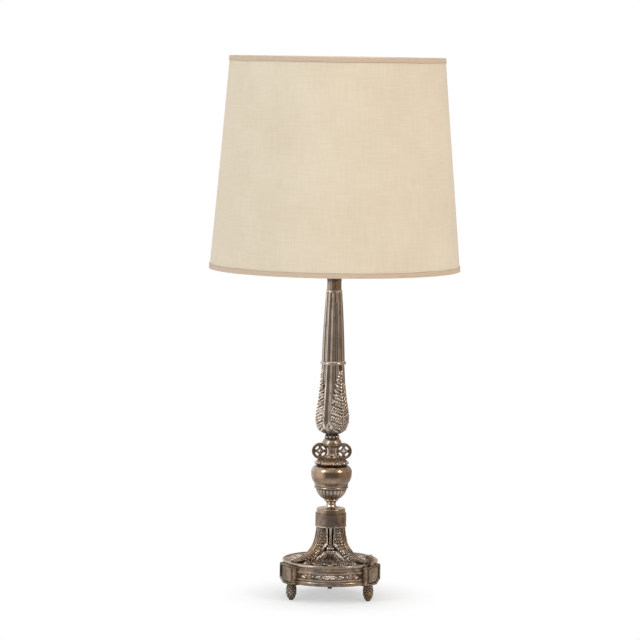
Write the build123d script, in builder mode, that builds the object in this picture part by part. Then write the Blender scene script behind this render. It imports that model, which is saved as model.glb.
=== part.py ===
"""Candlestick lamp: a three-footed silver-plated candlestick, wired as a lamp, with a drum shade.

Millimetres, +Z up. The origin is on the lamp's axis at table level. The camera side is -Y,
two feet stand towards the front left and front right, and the third is at the rear.
"""
import os
from math import cos, radians, sin

from build123d import *

# ---- stance: three pine-cone feet under three plinth blocks
REAR, LEFT, RIGHT = 90, 210, 330
SIDES = {"rear": REAR, "left": LEFT, "right": RIGHT}
PANELS = {"front": 270, "right": 30, "left": 150}
FOOT_CIRCLE_R = 62.0
FOOT_R = 7.6
FOOT_TIP_R = 2.2
FOOT_TOE_R = 3.8
FOOT_TOE_SWELL = 0.3
FOOT_NECK_R = 5.8
FOOT_TIP_H = 1.2
FOOT_BELLY_H = 13.3
FOOT_SHOULDER_H = 7.0
FOOT_NECK_H = 2.5
FOOT_TIP_SWELL = 1.5
FOOT_SHOULDER_SWELL = 0.9
FOOT_STUD_R = 3.0
FOOT_STUD_LEN = 10.0
STUD_FIT = 0.05
BLIND_HOLE_SPARE = 1.0

# ---- base: plinth blocks, curved wall panels between them, deck and leaf dome
BLOCK_W = 35.0
BLOCK_FACE_R = 71.0
BLOCK_BACK_R = 52.0
BLOCK_FRAME = 2.8
BLOCK_PANEL_DEPTH = 1.0
BLOCK_CORNER_ACROSS = 7.8
BLOCK_CORNER_UP = 5.0
WALL_LIFT = 1.0
WALL_IN_R = 61.5
WALL_R = 66.6
WALL_GROOVE = 1.5
FRIEZE_SET_IN = 1.4
CAVETTO_SET_IN = 1.8
CAVETTO_HOLLOW = 0.8
BASE_MOULD_STAND = 0.7
BASE_MOULD_SWELL = 0.9
BASE_MOULD_H = 5.6
GROOVE_H = 1.4
LOW_FILLET_H = 2.0
FRIEZE_H = 8.0
HIGH_FILLET_H = 2.3
CAVETTO_H = 6.7
DECK_R = 67.3
DECK_T = 1.8
RIM_BEAD_R = 1.1
POST_CIRCLE_R = 47.5
POST_R = 4.0
DOME_SKIRT_R = 56.0
DOME_SKIRT_T = 0.6
DOME_FLARE_R = 36.0
DOME_FLARE_H = 1.9
DOME_TOP_R = 12.2
DOME_H = 14.2
DOME_SAG = 3.4
DOME_WALL = 2.6
DOME_HOLLOW_R = 28.2
DOME_HOLLOW_H = 7.1

# ---- consoles between the deck and the collar, and the one scroll lug
CONSOLE_W = 13.0
CONSOLE_TOP_OUT_R = 20.6
CONSOLE_TOP_IN_R = 10.9
CONSOLE_KNEE_R = 24.6
CONSOLE_KNEE_DROP = 21.0
CONSOLE_SHIN_R = 41.0
CONSOLE_SHIN_H = 8.2
CONSOLE_TOE_R = 60.0
CONSOLE_TOE_H = 1.8
CONSOLE_HEEL_R = 33.4
CONSOLE_CALF_R = 18.8
CONSOLE_CALF_H = 15.0
LUG_W = 7.0
LUG_SHIFT = -4.0
LUG_T = 3.6
LUG_H = 16.0
LUG_CURL_R = 4.7

# ---- stem column and collar
STEM_H = 33.5
STEM_R = 5.25
STEM_TOP_R = 5.9
STEM_FOOT_R = 11.2
STEM_FOOT_H = 4.4
STEM_FOOT_SWELL = 1.2
STEM_STEP_R = 7.6
STEM_STEP_H = 2.6
STEM_SWEEP_H = 2.4
STEM_SWEEP_SAG = 0.6
STEM_SAG = 0.3
COLLAR_R = 21.7
COLLAR_H = 19.0
COLLAR_WALL = 2.2
COLLAR_FLOOR = 3.2
COLLAR_LIP = 0.5
COLLAR_LIP_H = 1.2
CAP_STEP = 1.5
CAP_SIDE_H = 5.0
CAP_ROUND_R = 17.6
CAP_ROUND_H = 1.7
CAP_ROUND_SWELL = 0.7
CAP_TOP_H = 1.1
CAP_TOP_SAG = 0.4
CAP_SPIGOT_H = 2.0
SPIGOT_FIT = 0.1
CONSOLE_SCREW_CIRCLE_R = 15.6
CONSOLE_SCREW_R = 1.8
CONSOLE_SCREW_HEAD_R = 3.2
CONSOLE_SCREW_HEAD_H = 2.4
CONSOLE_SCREW_GRIP = 8.0

# ---- urn
SPOOL_FOOT_R = 9.0
SPOOL_NECK_R = 6.65
SPOOL_NECK_H = 4.7
SPOOL_THROAT_R = 8.6
SPOOL_THROAT_H = 4.2
SPOOL_RING_H = 3.4
SPOOL_RING_SWELL = 1.7
SPOOL_SWEEP = 0.5
BOWL_FOOT_R = 11.4
BOWL_R = 21.9
BOWL_H = 15.2
BOWL_SWELL = 2.4
BAND_R = 23.4
BAND_H = 2.4
BAND_SWELL = 0.5
BAND_GROOVE = 0.7
BELLY_FOOT_R = 23.6
BELLY_FOOT_H = 4.2
BELLY_R = 28.56
BELLY_LOW_H = 14.6
BELLY_HIGH_H = 9.8
BELLY_LOW_SWELL = 1.5
BELLY_HIGH_SWELL = 1.6
BELLY_TOP_R = 24.0
URN_THROAT_R = 20.6
URN_THROAT_H = 2.0
URN_WALL = 2.4
URN_FLOOR = 3.0
FLANGE_FOOT_R = 20.6
FLANGE_R = 24.8
FLANGE_LIP_H = 2.4
FLANGE_LIP_SWELL = 0.6
FLANGE_RISE_R = 15.2
FLANGE_RISE_H = 5.6
FLANGE_RISE_SWELL = 1.4
FLANGE_NECK_R = 10.8
FLANGE_NECK_H = 2.4
FLANGE_NECK_SAG = 0.6
WAIST_FOOT_R = 10.5
WAIST_R = 6.7
WAIST_TOP_R = 8.4
WAIST_LOW_H = 8.2
WAIST_HIGH_H = 6.3
WAIST_SWEEP = 0.9
ECHINUS_FOOT_R = 8.6
ECHINUS_R = 13.7
ECHINUS_UNDER_H = 3.2
ECHINUS_BAND_H = 2.6
ECHINUS_TOP_R = 9.8
ECHINUS_TOP_H = 6.4
ECHINUS_SWELL = 0.7
ECHINUS_BAND_SWELL = 0.3
EAR_CENTRE_R = 16.3
EAR_R = 11.8
EAR_HOLE_R = 7.4
EAR_T = 5.0
EAR_RISE = 8.2
EAR_ROUND = 1.0
PETAL_W = 4.2
PETAL_T = 2.0
ROSE_R = 4.9
BOSS_R = 2.0
BOSS_H = 3.4
BEAD_COUNT = 12
BEAD_R = 2.1
BEAD_CORE_R = 8.9
BEAD_RING_H = 6.5

# ---- baluster, ring, fluted shaft and its capital
BALUSTER_FOOT_R = 9.9
BALUSTER_BOWL_R = 21.4
BALUSTER_BOWL_H = 10.5
BALUSTER_BOWL_SWELL = 2.3
BALUSTER_R = 23.66
BALUSTER_BELLY_H = 11.0
BALUSTER_BELLY_SWELL = 0.5
BALUSTER_WAIST_R = 20.3
BALUSTER_WAIST_H = 24.7
BALUSTER_WAIST_SWELL = 0.35
BALUSTER_NECK_R = 17.4
BALUSTER_NECK_H = 25.3
BALUSTER_TOP_R = 15.8
BALUSTER_TOP_H = 26.0
BALUSTER_WALL = 2.4
BALUSTER_END = 3.0
SHAFT_RING_R = 18.2
SHAFT_RING_H = 5.0
SHAFT_RING_FOOT_R = 15.9
SHAFT_H = 99.5
SHAFT_FOOT_R = 16.2
SHAFT_MID_R = 13.9
SHAFT_MID_H = 55.5
SHAFT_TOP_R = 11.1
FLUTE_COUNT = 12
FLUTE_ARC = 17.0
FLUTE_DEPTH = 0.12
FLUTE_PHASE = 27.0
SHAFT_BORE_R = 8.0
SHAFT_END = 3.0
CAPITAL_R = 10.2
CAPITAL_NECK_H = 22.0
CAPITAL_FLARE_R = 14.0
CAPITAL_FLARE_H = 6.0
CAPITAL_FLARE_SAG = 1.0
CAPITAL_LIP_H = 4.0

# ---- tie rod and what it clamps, ballast and wiring
ROD_R = 4.0
ROD_BORE_R = 2.75
ROD_FIT = 0.12
ROD_BELOW_NUT = 1.0
ROD_STOPS_SHORT = 2.0
ROD_NUT_ACROSS = 13.0
ROD_NUT_H = 4.5
WASHER_R = 9.0
WASHER_T = 1.5
PLATE_T = 1.5
PLATE_FIT = 0.2
PLATE_SCREW_R = 1.5
PLATE_SCREW_HEAD_R = 3.0
PLATE_SCREW_HEAD_H = 1.4
PLATE_SCREW_GRIP = 7.0
BALLAST_IN_R = 31.5
BALLAST_R = 42.8
BALLAST_H = 19.0
BUSH_X = -19.0
BUSH_BORE_R = 4.0
BUSH_HUB_R = 5.6
BUSH_FLANGE_R = 7.8
BUSH_FLANGE_H = 1.6
LEAD_R = 2.2
LEAD_BEND_R = 13.2
LEAD_RUN = 2.0
TERMINAL_L = 13.0
TERMINAL_W = 12.0
TERMINAL_CHAMFER = 1.0

# ---- lampholder, switch and bulb
HOLDER_BASE_R = 9.5
HOLDER_R = 21.4
HOLDER_DOME_H = 16.0
HOLDER_DOME_SWELL = 3.0
HOLDER_WALL = 1.6
HOLDER_BARREL_H = 20.0
HOLDER_SHOULDER_R = 24.0
HOLDER_SHOULDER_T = 2.0
HOLDER_THREAD_R = 19.8
HOLDER_THREAD_H = 26.0
HOLDER_BORE_R = 17.6
CORE_FIT = 0.1
CORE_T = 11.0
CORE_OVER_SWITCH = 1.0
CORE_RISE = 24.0
SHELL_R = 14.2
SHELL_WALL = 0.5
SHELL_H = 23.0
TAB_R = 4.0
TAB_TOP_R = 2.0
TAB_H = 2.4
TAB_SWELL = 0.4
BULB_GAP = 0.4
BULB_CAP_R = 13.2
BULB_TIP_R = 4.6
BULB_TIP_H = 4.0
BULB_INSULATOR_R = 11.2
BULB_INSULATOR_SAG = 0.8
BULB_SHOULDER_H = 4.0
BULB_THREAD_H = 17.0
BULB_NECK_R = 12.6
BULB_R = 17.5
BULB_SWELL_H = 30.0
BULB_TAIL_H = 40.0
BULB_CROWN_R = 3.0
BULB_LOW_SWELL = 1.2
BULB_HIGH_SWELL = 3.4
GLASS_WALL = 0.9
FILAMENT_POST_R = 2.0
FILAMENT_POST_H = 14.0
FILAMENT_SPREAD = 5.0
FILAMENT_R = 0.9
FILAMENT_H = 30.0
FILAMENT_DISC_R = 6.5
FILAMENT_DISC_T = 1.0
FILAMENT_COUNT = 4
SWITCH_RISE = 8.0
SWITCH_STEM_R = 2.0
SWITCH_FIT = 0.05
SWITCH_BOSS_R = 4.2
SWITCH_BOSS_L = 5.0
SWITCH_KNOB_R = 5.5
SWITCH_KNOB_L = 5.0
SWITCH_WING_L = 12.0
SWITCH_WING_W = 9.6
SWITCH_WING_T = 3.2
SWITCH_GAP = 0.4

# ---- shade: laminated cover, tapes, wires, spider and the ring that clamps it
SHADE_BOTTOM_R = 175.0
SHADE_TOP_R = 150.0
SHADE_H = 295.0
SHADE_DROP = 41.0
COVER_T = 0.8
TRIM_T = 0.5
TRIM_H = 6.5
WIRE_R = 1.6
SPIDER_ARM_R = 1.9
SPIDER_ARM_SET_OUT = 1.5
FITTER_IN_R = 20.4
FITTER_R = 27.0
FITTER_T = 2.0
MOVING_GAP = 0.35
SHADE_RING_R = 25.0
SHADE_RING_H = 8.0
SHADE_RING_GRIPS = 24
SHADE_RING_GRIP_R = 0.8

# ---- heights worked out from the sizes above
foot_h = FOOT_TIP_H + FOOT_BELLY_H + FOOT_SHOULDER_H + FOOT_NECK_H
wall_h = BASE_MOULD_H + GROOVE_H + LOW_FILLET_H + FRIEZE_H + HIGH_FILLET_H + CAVETTO_H
block_h = WALL_LIFT + wall_h
z_block = foot_h
z_wall = z_block + WALL_LIFT
z_deck = z_block + block_h
z_deck_top = z_deck + DECK_T
z_dome_top = z_deck_top + DOME_H
z_collar = z_dome_top + STEM_H
z_cap = z_collar + COLLAR_H
z_spool = z_cap + CAP_SIDE_H + CAP_ROUND_H + CAP_TOP_H
z_bowl = z_spool + SPOOL_NECK_H + SPOOL_THROAT_H + SPOOL_RING_H
z_body = z_bowl + BOWL_H
z_flange = z_body + BAND_H + BELLY_FOOT_H + BELLY_LOW_H + BELLY_HIGH_H + URN_THROAT_H
z_waist = z_flange + FLANGE_LIP_H + FLANGE_RISE_H + FLANGE_NECK_H
z_echinus = z_waist + WAIST_LOW_H + WAIST_HIGH_H
z_beads = z_echinus + ECHINUS_UNDER_H + ECHINUS_BAND_H + ECHINUS_TOP_H
z_baluster = z_beads + BEAD_RING_H
baluster_h = BALUSTER_BOWL_H + BALUSTER_BELLY_H + BALUSTER_WAIST_H + BALUSTER_NECK_H + BALUSTER_TOP_H
z_shaft_ring = z_baluster + baluster_h
z_shaft = z_shaft_ring + SHAFT_RING_H
z_capital = z_shaft + SHAFT_H
z_holder = z_capital + CAPITAL_NECK_H + CAPITAL_FLARE_H + CAPITAL_LIP_H
z_barrel = z_holder + HOLDER_DOME_H
z_shoulder = z_barrel + HOLDER_BARREL_H
z_thread = z_shoulder + HOLDER_SHOULDER_T
z_core = z_barrel + SWITCH_RISE + SWITCH_STEM_R + CORE_OVER_SWITCH
z_tab = z_core + CORE_T
z_bulb_tip = z_tab + TAB_H + BULB_GAP
z_bulb_neck = z_bulb_tip + BULB_TIP_H + BULB_SHOULDER_H + BULB_THREAD_H
z_fitter = z_thread + MOVING_GAP
z_shade_ring = z_fitter + FITTER_T + MOVING_GAP
z_shade = z_fitter - SHADE_DROP
z_plate = z_wall
z_plate_top = z_plate + PLATE_T
z_rod = z_deck - WASHER_T - ROD_NUT_H - ROD_BELOW_NUT
lead_z = z_rod - LEAD_BEND_R
terminal_x = LEAD_BEND_R + LEAD_RUN
terminal_h = 2 * (lead_z - z_plate_top)
z_rod_top = z_barrel - HOLDER_WALL - ROD_STOPS_SHORT
ear_z = z_waist + EAR_RISE
bore_r = ROD_R + ROD_FIT
shade_slope = (SHADE_BOTTOM_R - SHADE_TOP_R) / SHADE_H

os.makedirs("parts", exist_ok=True)


def save(node, label):
    """Label a finished piece and write it as its own STEP file."""
    node.label = label
    export_step(node, f"parts/{label}.step")


def radial_plane(angle):
    """The upright plane through the lamp's axis: local x runs outwards, local y runs up."""
    outward = (cos(radians(angle)), sin(radians(angle)), 0)
    across = (sin(radians(angle)), -cos(radians(angle)), 0)
    return Plane(origin=(0, 0, 0), x_dir=outward, z_dir=across)


def stack(base, *steps):
    """Turn (radius, rise, swell) steps into stations of (radius, height, swell)."""
    height = base
    stations = []
    for radius, rise, swell in steps:
        height += rise
        stations.append((radius, height, swell))
    return stations


def turned_edges(stations):
    """Draw a turned outline from foot to top. A positive swell bulges outwards."""
    for (r0, z0, _), (r1, z1, swell) in zip(stations, stations[1:]):
        if swell:
            chord = Vector(r1 - r0, z1 - z0)
            side = Vector(chord.Y, -chord.X).normalized() * swell
            middle = ((r0 + r1) / 2 + side.X, (z0 + z1) / 2 + side.Y)
            ThreePointArc((r0, z0), middle, (r1, z1))
        else:
            Line((r0, z0), (r1, z1))


def turned_profile(stations, inner_r):
    """A flat profile between a turned outline and a bore: x is the radius, y the height."""
    first = stations[0]
    last = stations[-1]
    with BuildSketch() as profile:
        with BuildLine():
            Line((inner_r, first[1]), (first[0], first[1]))
            turned_edges(stations)
            Polyline((last[0], last[1]), (inner_r, last[1]), (inner_r, first[1]))
        make_face()
    return profile.sketch


def turned(stations, inner_r):
    """A piece turned about the lamp's axis, with a bore."""
    with BuildPart() as piece:
        with BuildSketch(Plane.XZ):
            add(turned_profile(stations, inner_r))
        revolve(axis=Axis.Z)
    return piece.part


def cavity(stations, wall, low, high):
    """The hollow that a wall of even thickness leaves inside a turned outline."""
    inner = [(radius - wall, height, swell) for radius, height, swell in stations]
    with BuildPart() as hollow:
        with BuildSketch(Plane.XZ):
            add(turned_profile(inner, 0))
        revolve(axis=Axis.Z)
        with BuildSketch(Plane.XY.offset(low)):
            Circle(max(radius for radius, _, _ in stations))
        extrude(amount=high - low, mode=Mode.INTERSECT)
    return hollow.part


def hollow_turned(stations, wall, floor, ceiling):
    """A turned shell, closed by a floor and a ceiling that the tie rod passes through."""
    hollow = cavity(stations, wall, stations[0][1] + floor, stations[-1][1] - ceiling)
    with BuildPart() as piece:
        add(turned(stations, bore_r))
        add(hollow, mode=Mode.SUBTRACT)
    return piece.part


# ---------------------------------------------------------------- feet and plinth blocks
def at_foot(angle, height):
    """The horizontal plane over one foot's centre."""
    x = FOOT_CIRCLE_R * cos(radians(angle))
    y = FOOT_CIRCLE_R * sin(radians(angle))
    return Plane(origin=(x, y, height), x_dir=(cos(radians(angle)), sin(radians(angle)), 0))


def make_foot(angle):
    """A pine-cone foot with a flat tip and the stud that screws it into its block."""
    upright = at_foot(angle, 0)
    cone = stack(
        0,
        (FOOT_TIP_R, 0, 0),
        (FOOT_TOE_R, FOOT_TIP_H, FOOT_TOE_SWELL),
        (FOOT_R, FOOT_BELLY_H, FOOT_TIP_SWELL),
        (FOOT_NECK_R, FOOT_SHOULDER_H, FOOT_SHOULDER_SWELL),
        (FOOT_NECK_R, FOOT_NECK_H, 0),
    )
    with BuildPart() as foot:
        with BuildSketch(Plane(origin=upright.origin, x_dir=upright.x_dir, z_dir=-upright.y_dir)):
            add(turned_profile(cone, 0))
        revolve(axis=Axis(upright.origin, (0, 0, 1)))
        with BuildSketch(at_foot(angle, z_block)):
            Circle(FOOT_STUD_R)
        extrude(amount=FOOT_STUD_LEN)
    return foot.part


def block_face_plane(angle):
    """The plane of a block's outer face: local x runs across it, local y runs up."""
    outward = Vector(cos(radians(angle)), sin(radians(angle)), 0)
    return Plane(origin=outward * BLOCK_FACE_R, x_dir=(-outward.Y, outward.X, 0), z_dir=outward)


def make_plinth(angle, cut_corners):
    """A plinth block: framed panel on its face, its far lower corners cut, foot hole below."""
    across = BLOCK_W / 2
    with BuildPart() as block:
        with BuildSketch(block_face_plane(angle)):
            with BuildLine():
                Polyline(
                    (-across, z_block), (across, z_block), (across, z_deck), (-across, z_deck), close=True
                )
            make_face()
            for side in cut_corners:
                edge = side * across
                with BuildLine():
                    Polyline(
                        (edge, z_block),
                        (edge, z_block + BLOCK_CORNER_UP),
                        (edge - side * BLOCK_CORNER_ACROSS, z_block),
                        close=True,
                    )
                make_face(mode=Mode.SUBTRACT)
        extrude(amount=BLOCK_BACK_R - BLOCK_FACE_R)
        with BuildSketch(block_face_plane(angle)):
            with Locations((0, z_block + block_h / 2)):
                Rectangle(BLOCK_W - 2 * BLOCK_FRAME, block_h - 2 * BLOCK_FRAME)
            for side in cut_corners:
                edge = side * (across - BLOCK_FRAME)
                base = z_block + BLOCK_FRAME
                with BuildLine():
                    Polyline(
                        (edge, base),
                        (edge, base + BLOCK_CORNER_UP),
                        (edge - side * BLOCK_CORNER_ACROSS, base),
                        close=True,
                    )
                make_face(mode=Mode.SUBTRACT)
        extrude(amount=-BLOCK_PANEL_DEPTH, mode=Mode.SUBTRACT)
        with BuildSketch(at_foot(angle, z_block)):
            Circle(FOOT_STUD_R + STUD_FIT)
        extrude(amount=FOOT_STUD_LEN + BLIND_HOLE_SPARE, mode=Mode.SUBTRACT)
    return block.part


def block_space(angle):
    """The whole box that a block fills between the wall panels."""
    with BuildPart() as space:
        with BuildSketch(block_face_plane(angle)):
            with Locations((0, z_block + block_h / 2)):
                Rectangle(BLOCK_W, block_h)
        extrude(amount=BLOCK_BACK_R - BLOCK_FACE_R)
    return space.part


# ---------------------------------------------------------------- wall panels, deck and dome
def wall_stations():
    """The moulded outline of the base wall, from its lower torus to the cavetto under the deck."""
    frieze_r = WALL_R - FRIEZE_SET_IN
    cavetto_r = WALL_R - CAVETTO_SET_IN
    mould_r = WALL_R + BASE_MOULD_STAND - BASE_MOULD_SWELL
    return stack(
        z_wall,
        (mould_r, 0, 0),
        (mould_r, BASE_MOULD_H, BASE_MOULD_SWELL),
        (WALL_R - WALL_GROOVE, 0, 0),
        (WALL_R - WALL_GROOVE, GROOVE_H, 0),
        (WALL_R, 0, 0),
        (WALL_R, LOW_FILLET_H, 0),
        (frieze_r, 0, 0),
        (frieze_r, FRIEZE_H, 0),
        (WALL_R, 0, 0),
        (WALL_R, HIGH_FILLET_H, 0),
        (cavetto_r, 0, 0),
        (WALL_R, CAVETTO_H, -CAVETTO_HOLLOW),
    )


def make_wall_panel(middle):
    """One curved wall panel between two plinth blocks."""
    reach = 180 / len(PANELS)
    with BuildPart() as panel:
        with BuildSketch(radial_plane(middle - reach)):
            add(turned_profile(wall_stations(), WALL_IN_R))
        revolve(axis=Axis.Z, revolution_arc=2 * reach)
        add(block_space(middle - reach), mode=Mode.SUBTRACT)
        add(block_space(middle + reach), mode=Mode.SUBTRACT)
    return panel.part


def make_deck():
    """The deck over walls and blocks: raised rim bead, central seat, three posts below."""
    rim_r = DECK_R - RIM_BEAD_R
    with BuildPart() as deck:
        with BuildSketch(Plane.XY.offset(z_deck)):
            Circle(DECK_R)
        extrude(amount=DECK_T)
        with BuildSketch(Plane.XZ):
            with Locations((rim_r, z_deck_top)):
                Circle(RIM_BEAD_R)
        revolve(axis=Axis.Z)
        with BuildSketch(Plane.XY.offset(z_plate_top)):
            with PolarLocations(POST_CIRCLE_R, len(PANELS), start_angle=PANELS["right"]):
                Circle(POST_R)
        extrude(amount=z_deck - z_plate_top)
        with BuildSketch(Plane.XY.offset(z_plate_top)):
            with PolarLocations(POST_CIRCLE_R, len(PANELS), start_angle=PANELS["right"]):
                Circle(PLATE_SCREW_R)
        extrude(amount=PLATE_SCREW_GRIP + BLIND_HOLE_SPARE, mode=Mode.SUBTRACT)
        with BuildSketch(Plane.XY.offset(z_deck)):
            Circle(bore_r)
        extrude(amount=DECK_T, mode=Mode.SUBTRACT)
    return deck.part


def dome_stations():
    """The sagging cone of the leaf dome, from its skirt on the deck to the stem's seat."""
    return stack(
        z_deck_top,
        (DOME_SKIRT_R, 0, 0),
        (DOME_SKIRT_R, DOME_SKIRT_T, 0),
        (DOME_FLARE_R, DOME_FLARE_H - DOME_SKIRT_T, 0),
        (DOME_TOP_R, DOME_H - DOME_FLARE_H, -DOME_SAG),
    )


def make_dome():
    """The leaf dome, hollow underneath."""
    with BuildPart() as dome:
        add(turned(dome_stations(), bore_r))
        with BuildSketch(Plane.XZ):
            with BuildLine():
                Polyline(
                    (bore_r + DOME_WALL, z_deck_top),
                    (DOME_HOLLOW_R, z_deck_top),
                    (bore_r + DOME_WALL, z_deck_top + DOME_HOLLOW_H),
                    close=True,
                )
            make_face()
        revolve(axis=Axis.Z, mode=Mode.SUBTRACT)
    return dome.part


# ---------------------------------------------------------------- consoles and scroll lug
def console_seat():
    """The console's top and the horizontal places of its curves, as (radius, height) points."""
    knee = (CONSOLE_KNEE_R, z_collar - CONSOLE_KNEE_DROP)
    shin = (CONSOLE_SHIN_R, z_deck_top + CONSOLE_SHIN_H)
    toe = (CONSOLE_TOE_R, z_deck_top + CONSOLE_TOE_H)
    calf = (CONSOLE_CALF_R, z_deck_top + CONSOLE_CALF_H)
    heel = (CONSOLE_HEEL_R, z_deck_top)
    return knee, shin, toe, calf, heel


def make_console(angle, dome):
    """A leaf console: upright under the collar, sweeping out and down to rest on the deck."""
    knee, shin, toe, calf, heel = console_seat()
    with BuildPart() as console:
        with BuildSketch(radial_plane(angle)):
            with BuildLine():
                thigh = TangentArc((CONSOLE_TOP_OUT_R, z_collar), knee, tangent=(0, -1))
                sweep_out = TangentArc(knee, shin, tangent=thigh % 1)
                TangentArc(shin, toe, tangent=sweep_out % 1)
                Polyline(toe, (CONSOLE_TOE_R, z_deck_top), heel)
                inside = TangentArc((CONSOLE_TOP_IN_R, z_collar), calf, tangent=(0, -1))
                TangentArc(calf, heel, tangent=inside % 1)
                Line((CONSOLE_TOP_IN_R, z_collar), (CONSOLE_TOP_OUT_R, z_collar))
            make_face()
        extrude(amount=CONSOLE_W / 2, both=True)
        add(dome, mode=Mode.SUBTRACT)
        with BuildSketch(Plane.XY.offset(z_collar)):
            with PolarLocations(CONSOLE_SCREW_CIRCLE_R, 1, start_angle=angle):
                Circle(CONSOLE_SCREW_R)
        extrude(amount=-CONSOLE_SCREW_GRIP - BLIND_HOLE_SPARE, mode=Mode.SUBTRACT)
    return console.part


def make_console_screws():
    """Three screws from inside the collar down into the consoles."""
    floor_top = z_collar + COLLAR_FLOOR
    with BuildPart() as screws:
        with BuildSketch(Plane.XY.offset(floor_top)):
            with PolarLocations(CONSOLE_SCREW_CIRCLE_R, len(SIDES), start_angle=REAR):
                Circle(CONSOLE_SCREW_HEAD_R)
        extrude(amount=CONSOLE_SCREW_HEAD_H)
        with BuildSketch(Plane.XY.offset(floor_top)):
            with PolarLocations(CONSOLE_SCREW_CIRCLE_R, len(SIDES), start_angle=REAR):
                Circle(CONSOLE_SCREW_R)
        extrude(amount=-COLLAR_FLOOR - CONSOLE_SCREW_GRIP)
    return screws.part


def make_lug():
    """The scroll lug that stands on the right block, its head curled in over the deck."""
    outward = Vector(cos(radians(RIGHT)), sin(radians(RIGHT)), 0)
    across = Vector(sin(radians(RIGHT)), -cos(radians(RIGHT)), 0)
    middle = Plane(origin=across * -LUG_SHIFT, x_dir=outward, z_dir=across)
    outer = DECK_R + LUG_T
    curl_z = z_deck + LUG_H - LUG_CURL_R
    with BuildPart() as lug:
        with BuildSketch(middle):
            with Locations((DECK_R + LUG_T / 2, (z_deck + curl_z) / 2)):
                Rectangle(LUG_T, curl_z - z_deck)
            with Locations((outer - LUG_CURL_R, curl_z)):
                Circle(LUG_CURL_R)
        extrude(amount=LUG_W / 2, both=True)
    return lug.part


# ---------------------------------------------------------------- stem and collar
def make_stem():
    """The slim column between dome and collar, on a small torus foot."""
    shaft_h = STEM_H - STEM_FOOT_H - STEM_STEP_H - STEM_SWEEP_H
    return turned(
        stack(
            z_dome_top,
            (STEM_FOOT_R - STEM_FOOT_SWELL, 0, 0),
            (STEM_FOOT_R - STEM_FOOT_SWELL, STEM_FOOT_H, STEM_FOOT_SWELL),
            (STEM_STEP_R, 0, 0),
            (STEM_STEP_R, STEM_STEP_H, 0),
            (STEM_R, STEM_SWEEP_H, -STEM_SWEEP_SAG),
            (STEM_TOP_R, shaft_h, -STEM_SAG),
        ),
        bore_r,
    )


def make_collar():
    """The plain collar, a cup on the consoles, with screw holes in its floor."""
    with BuildPart() as collar:
        add(
            turned(
                stack(
                    z_collar,
                    (COLLAR_R + COLLAR_LIP, 0, 0),
                    (COLLAR_R + COLLAR_LIP, COLLAR_LIP_H, 0),
                    (COLLAR_R, 0, 0),
                    (COLLAR_R, COLLAR_H - COLLAR_LIP_H, 0),
                ),
                bore_r,
            )
        )
        with BuildSketch(Plane.XY.offset(z_collar + COLLAR_FLOOR)):
            Circle(COLLAR_R - COLLAR_WALL)
        extrude(amount=COLLAR_H - COLLAR_FLOOR, mode=Mode.SUBTRACT)
        with BuildSketch(Plane.XY.offset(z_collar)):
            with PolarLocations(CONSOLE_SCREW_CIRCLE_R, len(SIDES), start_angle=REAR):
                Circle(CONSOLE_SCREW_R)
        extrude(amount=COLLAR_FLOOR, mode=Mode.SUBTRACT)
    return collar.part


def make_collar_cap():
    """The stepped cap that closes the collar, with a spigot down into it."""
    cap_r = COLLAR_R - CAP_STEP
    with BuildPart() as cap:
        add(
            turned(
                stack(
                    z_cap,
                    (cap_r, 0, 0),
                    (cap_r, CAP_SIDE_H, 0),
                    (CAP_ROUND_R, CAP_ROUND_H, CAP_ROUND_SWELL),
                    (SPOOL_FOOT_R, CAP_TOP_H, -CAP_TOP_SAG),
                ),
                bore_r,
            )
        )
        with BuildSketch(Plane.XY.offset(z_cap)):
            Circle(COLLAR_R - COLLAR_WALL - SPIGOT_FIT)
            Circle(bore_r, mode=Mode.SUBTRACT)
        extrude(amount=-CAP_SPIGOT_H)
    return cap.part


# ---------------------------------------------------------------- urn
def make_spool():
    """The narrow neck below the urn, with its ring."""
    return turned(
        stack(
            z_spool,
            (SPOOL_FOOT_R, 0, 0),
            (SPOOL_NECK_R, SPOOL_NECK_H, -SPOOL_SWEEP),
            (SPOOL_THROAT_R, SPOOL_THROAT_H, -SPOOL_SWEEP),
            (SPOOL_THROAT_R, SPOOL_RING_H, SPOOL_RING_SWELL),
        ),
        bore_r,
    )


def make_bowl():
    """The lower bowl of the urn, which carries the gadroons."""
    stations = stack(z_bowl, (BOWL_FOOT_R, 0, 0), (BOWL_R, BOWL_H, BOWL_SWELL))
    return hollow_turned(stations, URN_WALL, URN_FLOOR, 0)


def make_urn_body():
    """The band and the smooth belly of the urn, up to its throat."""
    stations = stack(
        z_body,
        (BAND_R, 0, 0),
        (BAND_R, BAND_H, BAND_SWELL),
        (BAND_R - BAND_GROOVE, 0, 0),
        (BELLY_FOOT_R, BELLY_FOOT_H, BAND_SWELL),
        (BELLY_R, BELLY_LOW_H, BELLY_LOW_SWELL),
        (BELLY_TOP_R, BELLY_HIGH_H, BELLY_HIGH_SWELL),
        (URN_THROAT_R, URN_THROAT_H, -BAND_SWELL),
    )
    with BuildPart() as body:
        add(turned(stations, bore_r))
        add(cavity(stations, URN_WALL, z_body, z_flange - URN_WALL), mode=Mode.SUBTRACT)
    return body.part


def make_flange():
    """The leaf-moulded flange over the urn's throat."""
    return turned(
        stack(
            z_flange,
            (FLANGE_FOOT_R, 0, 0),
            (FLANGE_R, FLANGE_LIP_H, FLANGE_LIP_SWELL),
            (FLANGE_RISE_R, FLANGE_RISE_H, FLANGE_RISE_SWELL),
            (FLANGE_NECK_R, FLANGE_NECK_H, -FLANGE_NECK_SAG),
        ),
        bore_r,
    )


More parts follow.
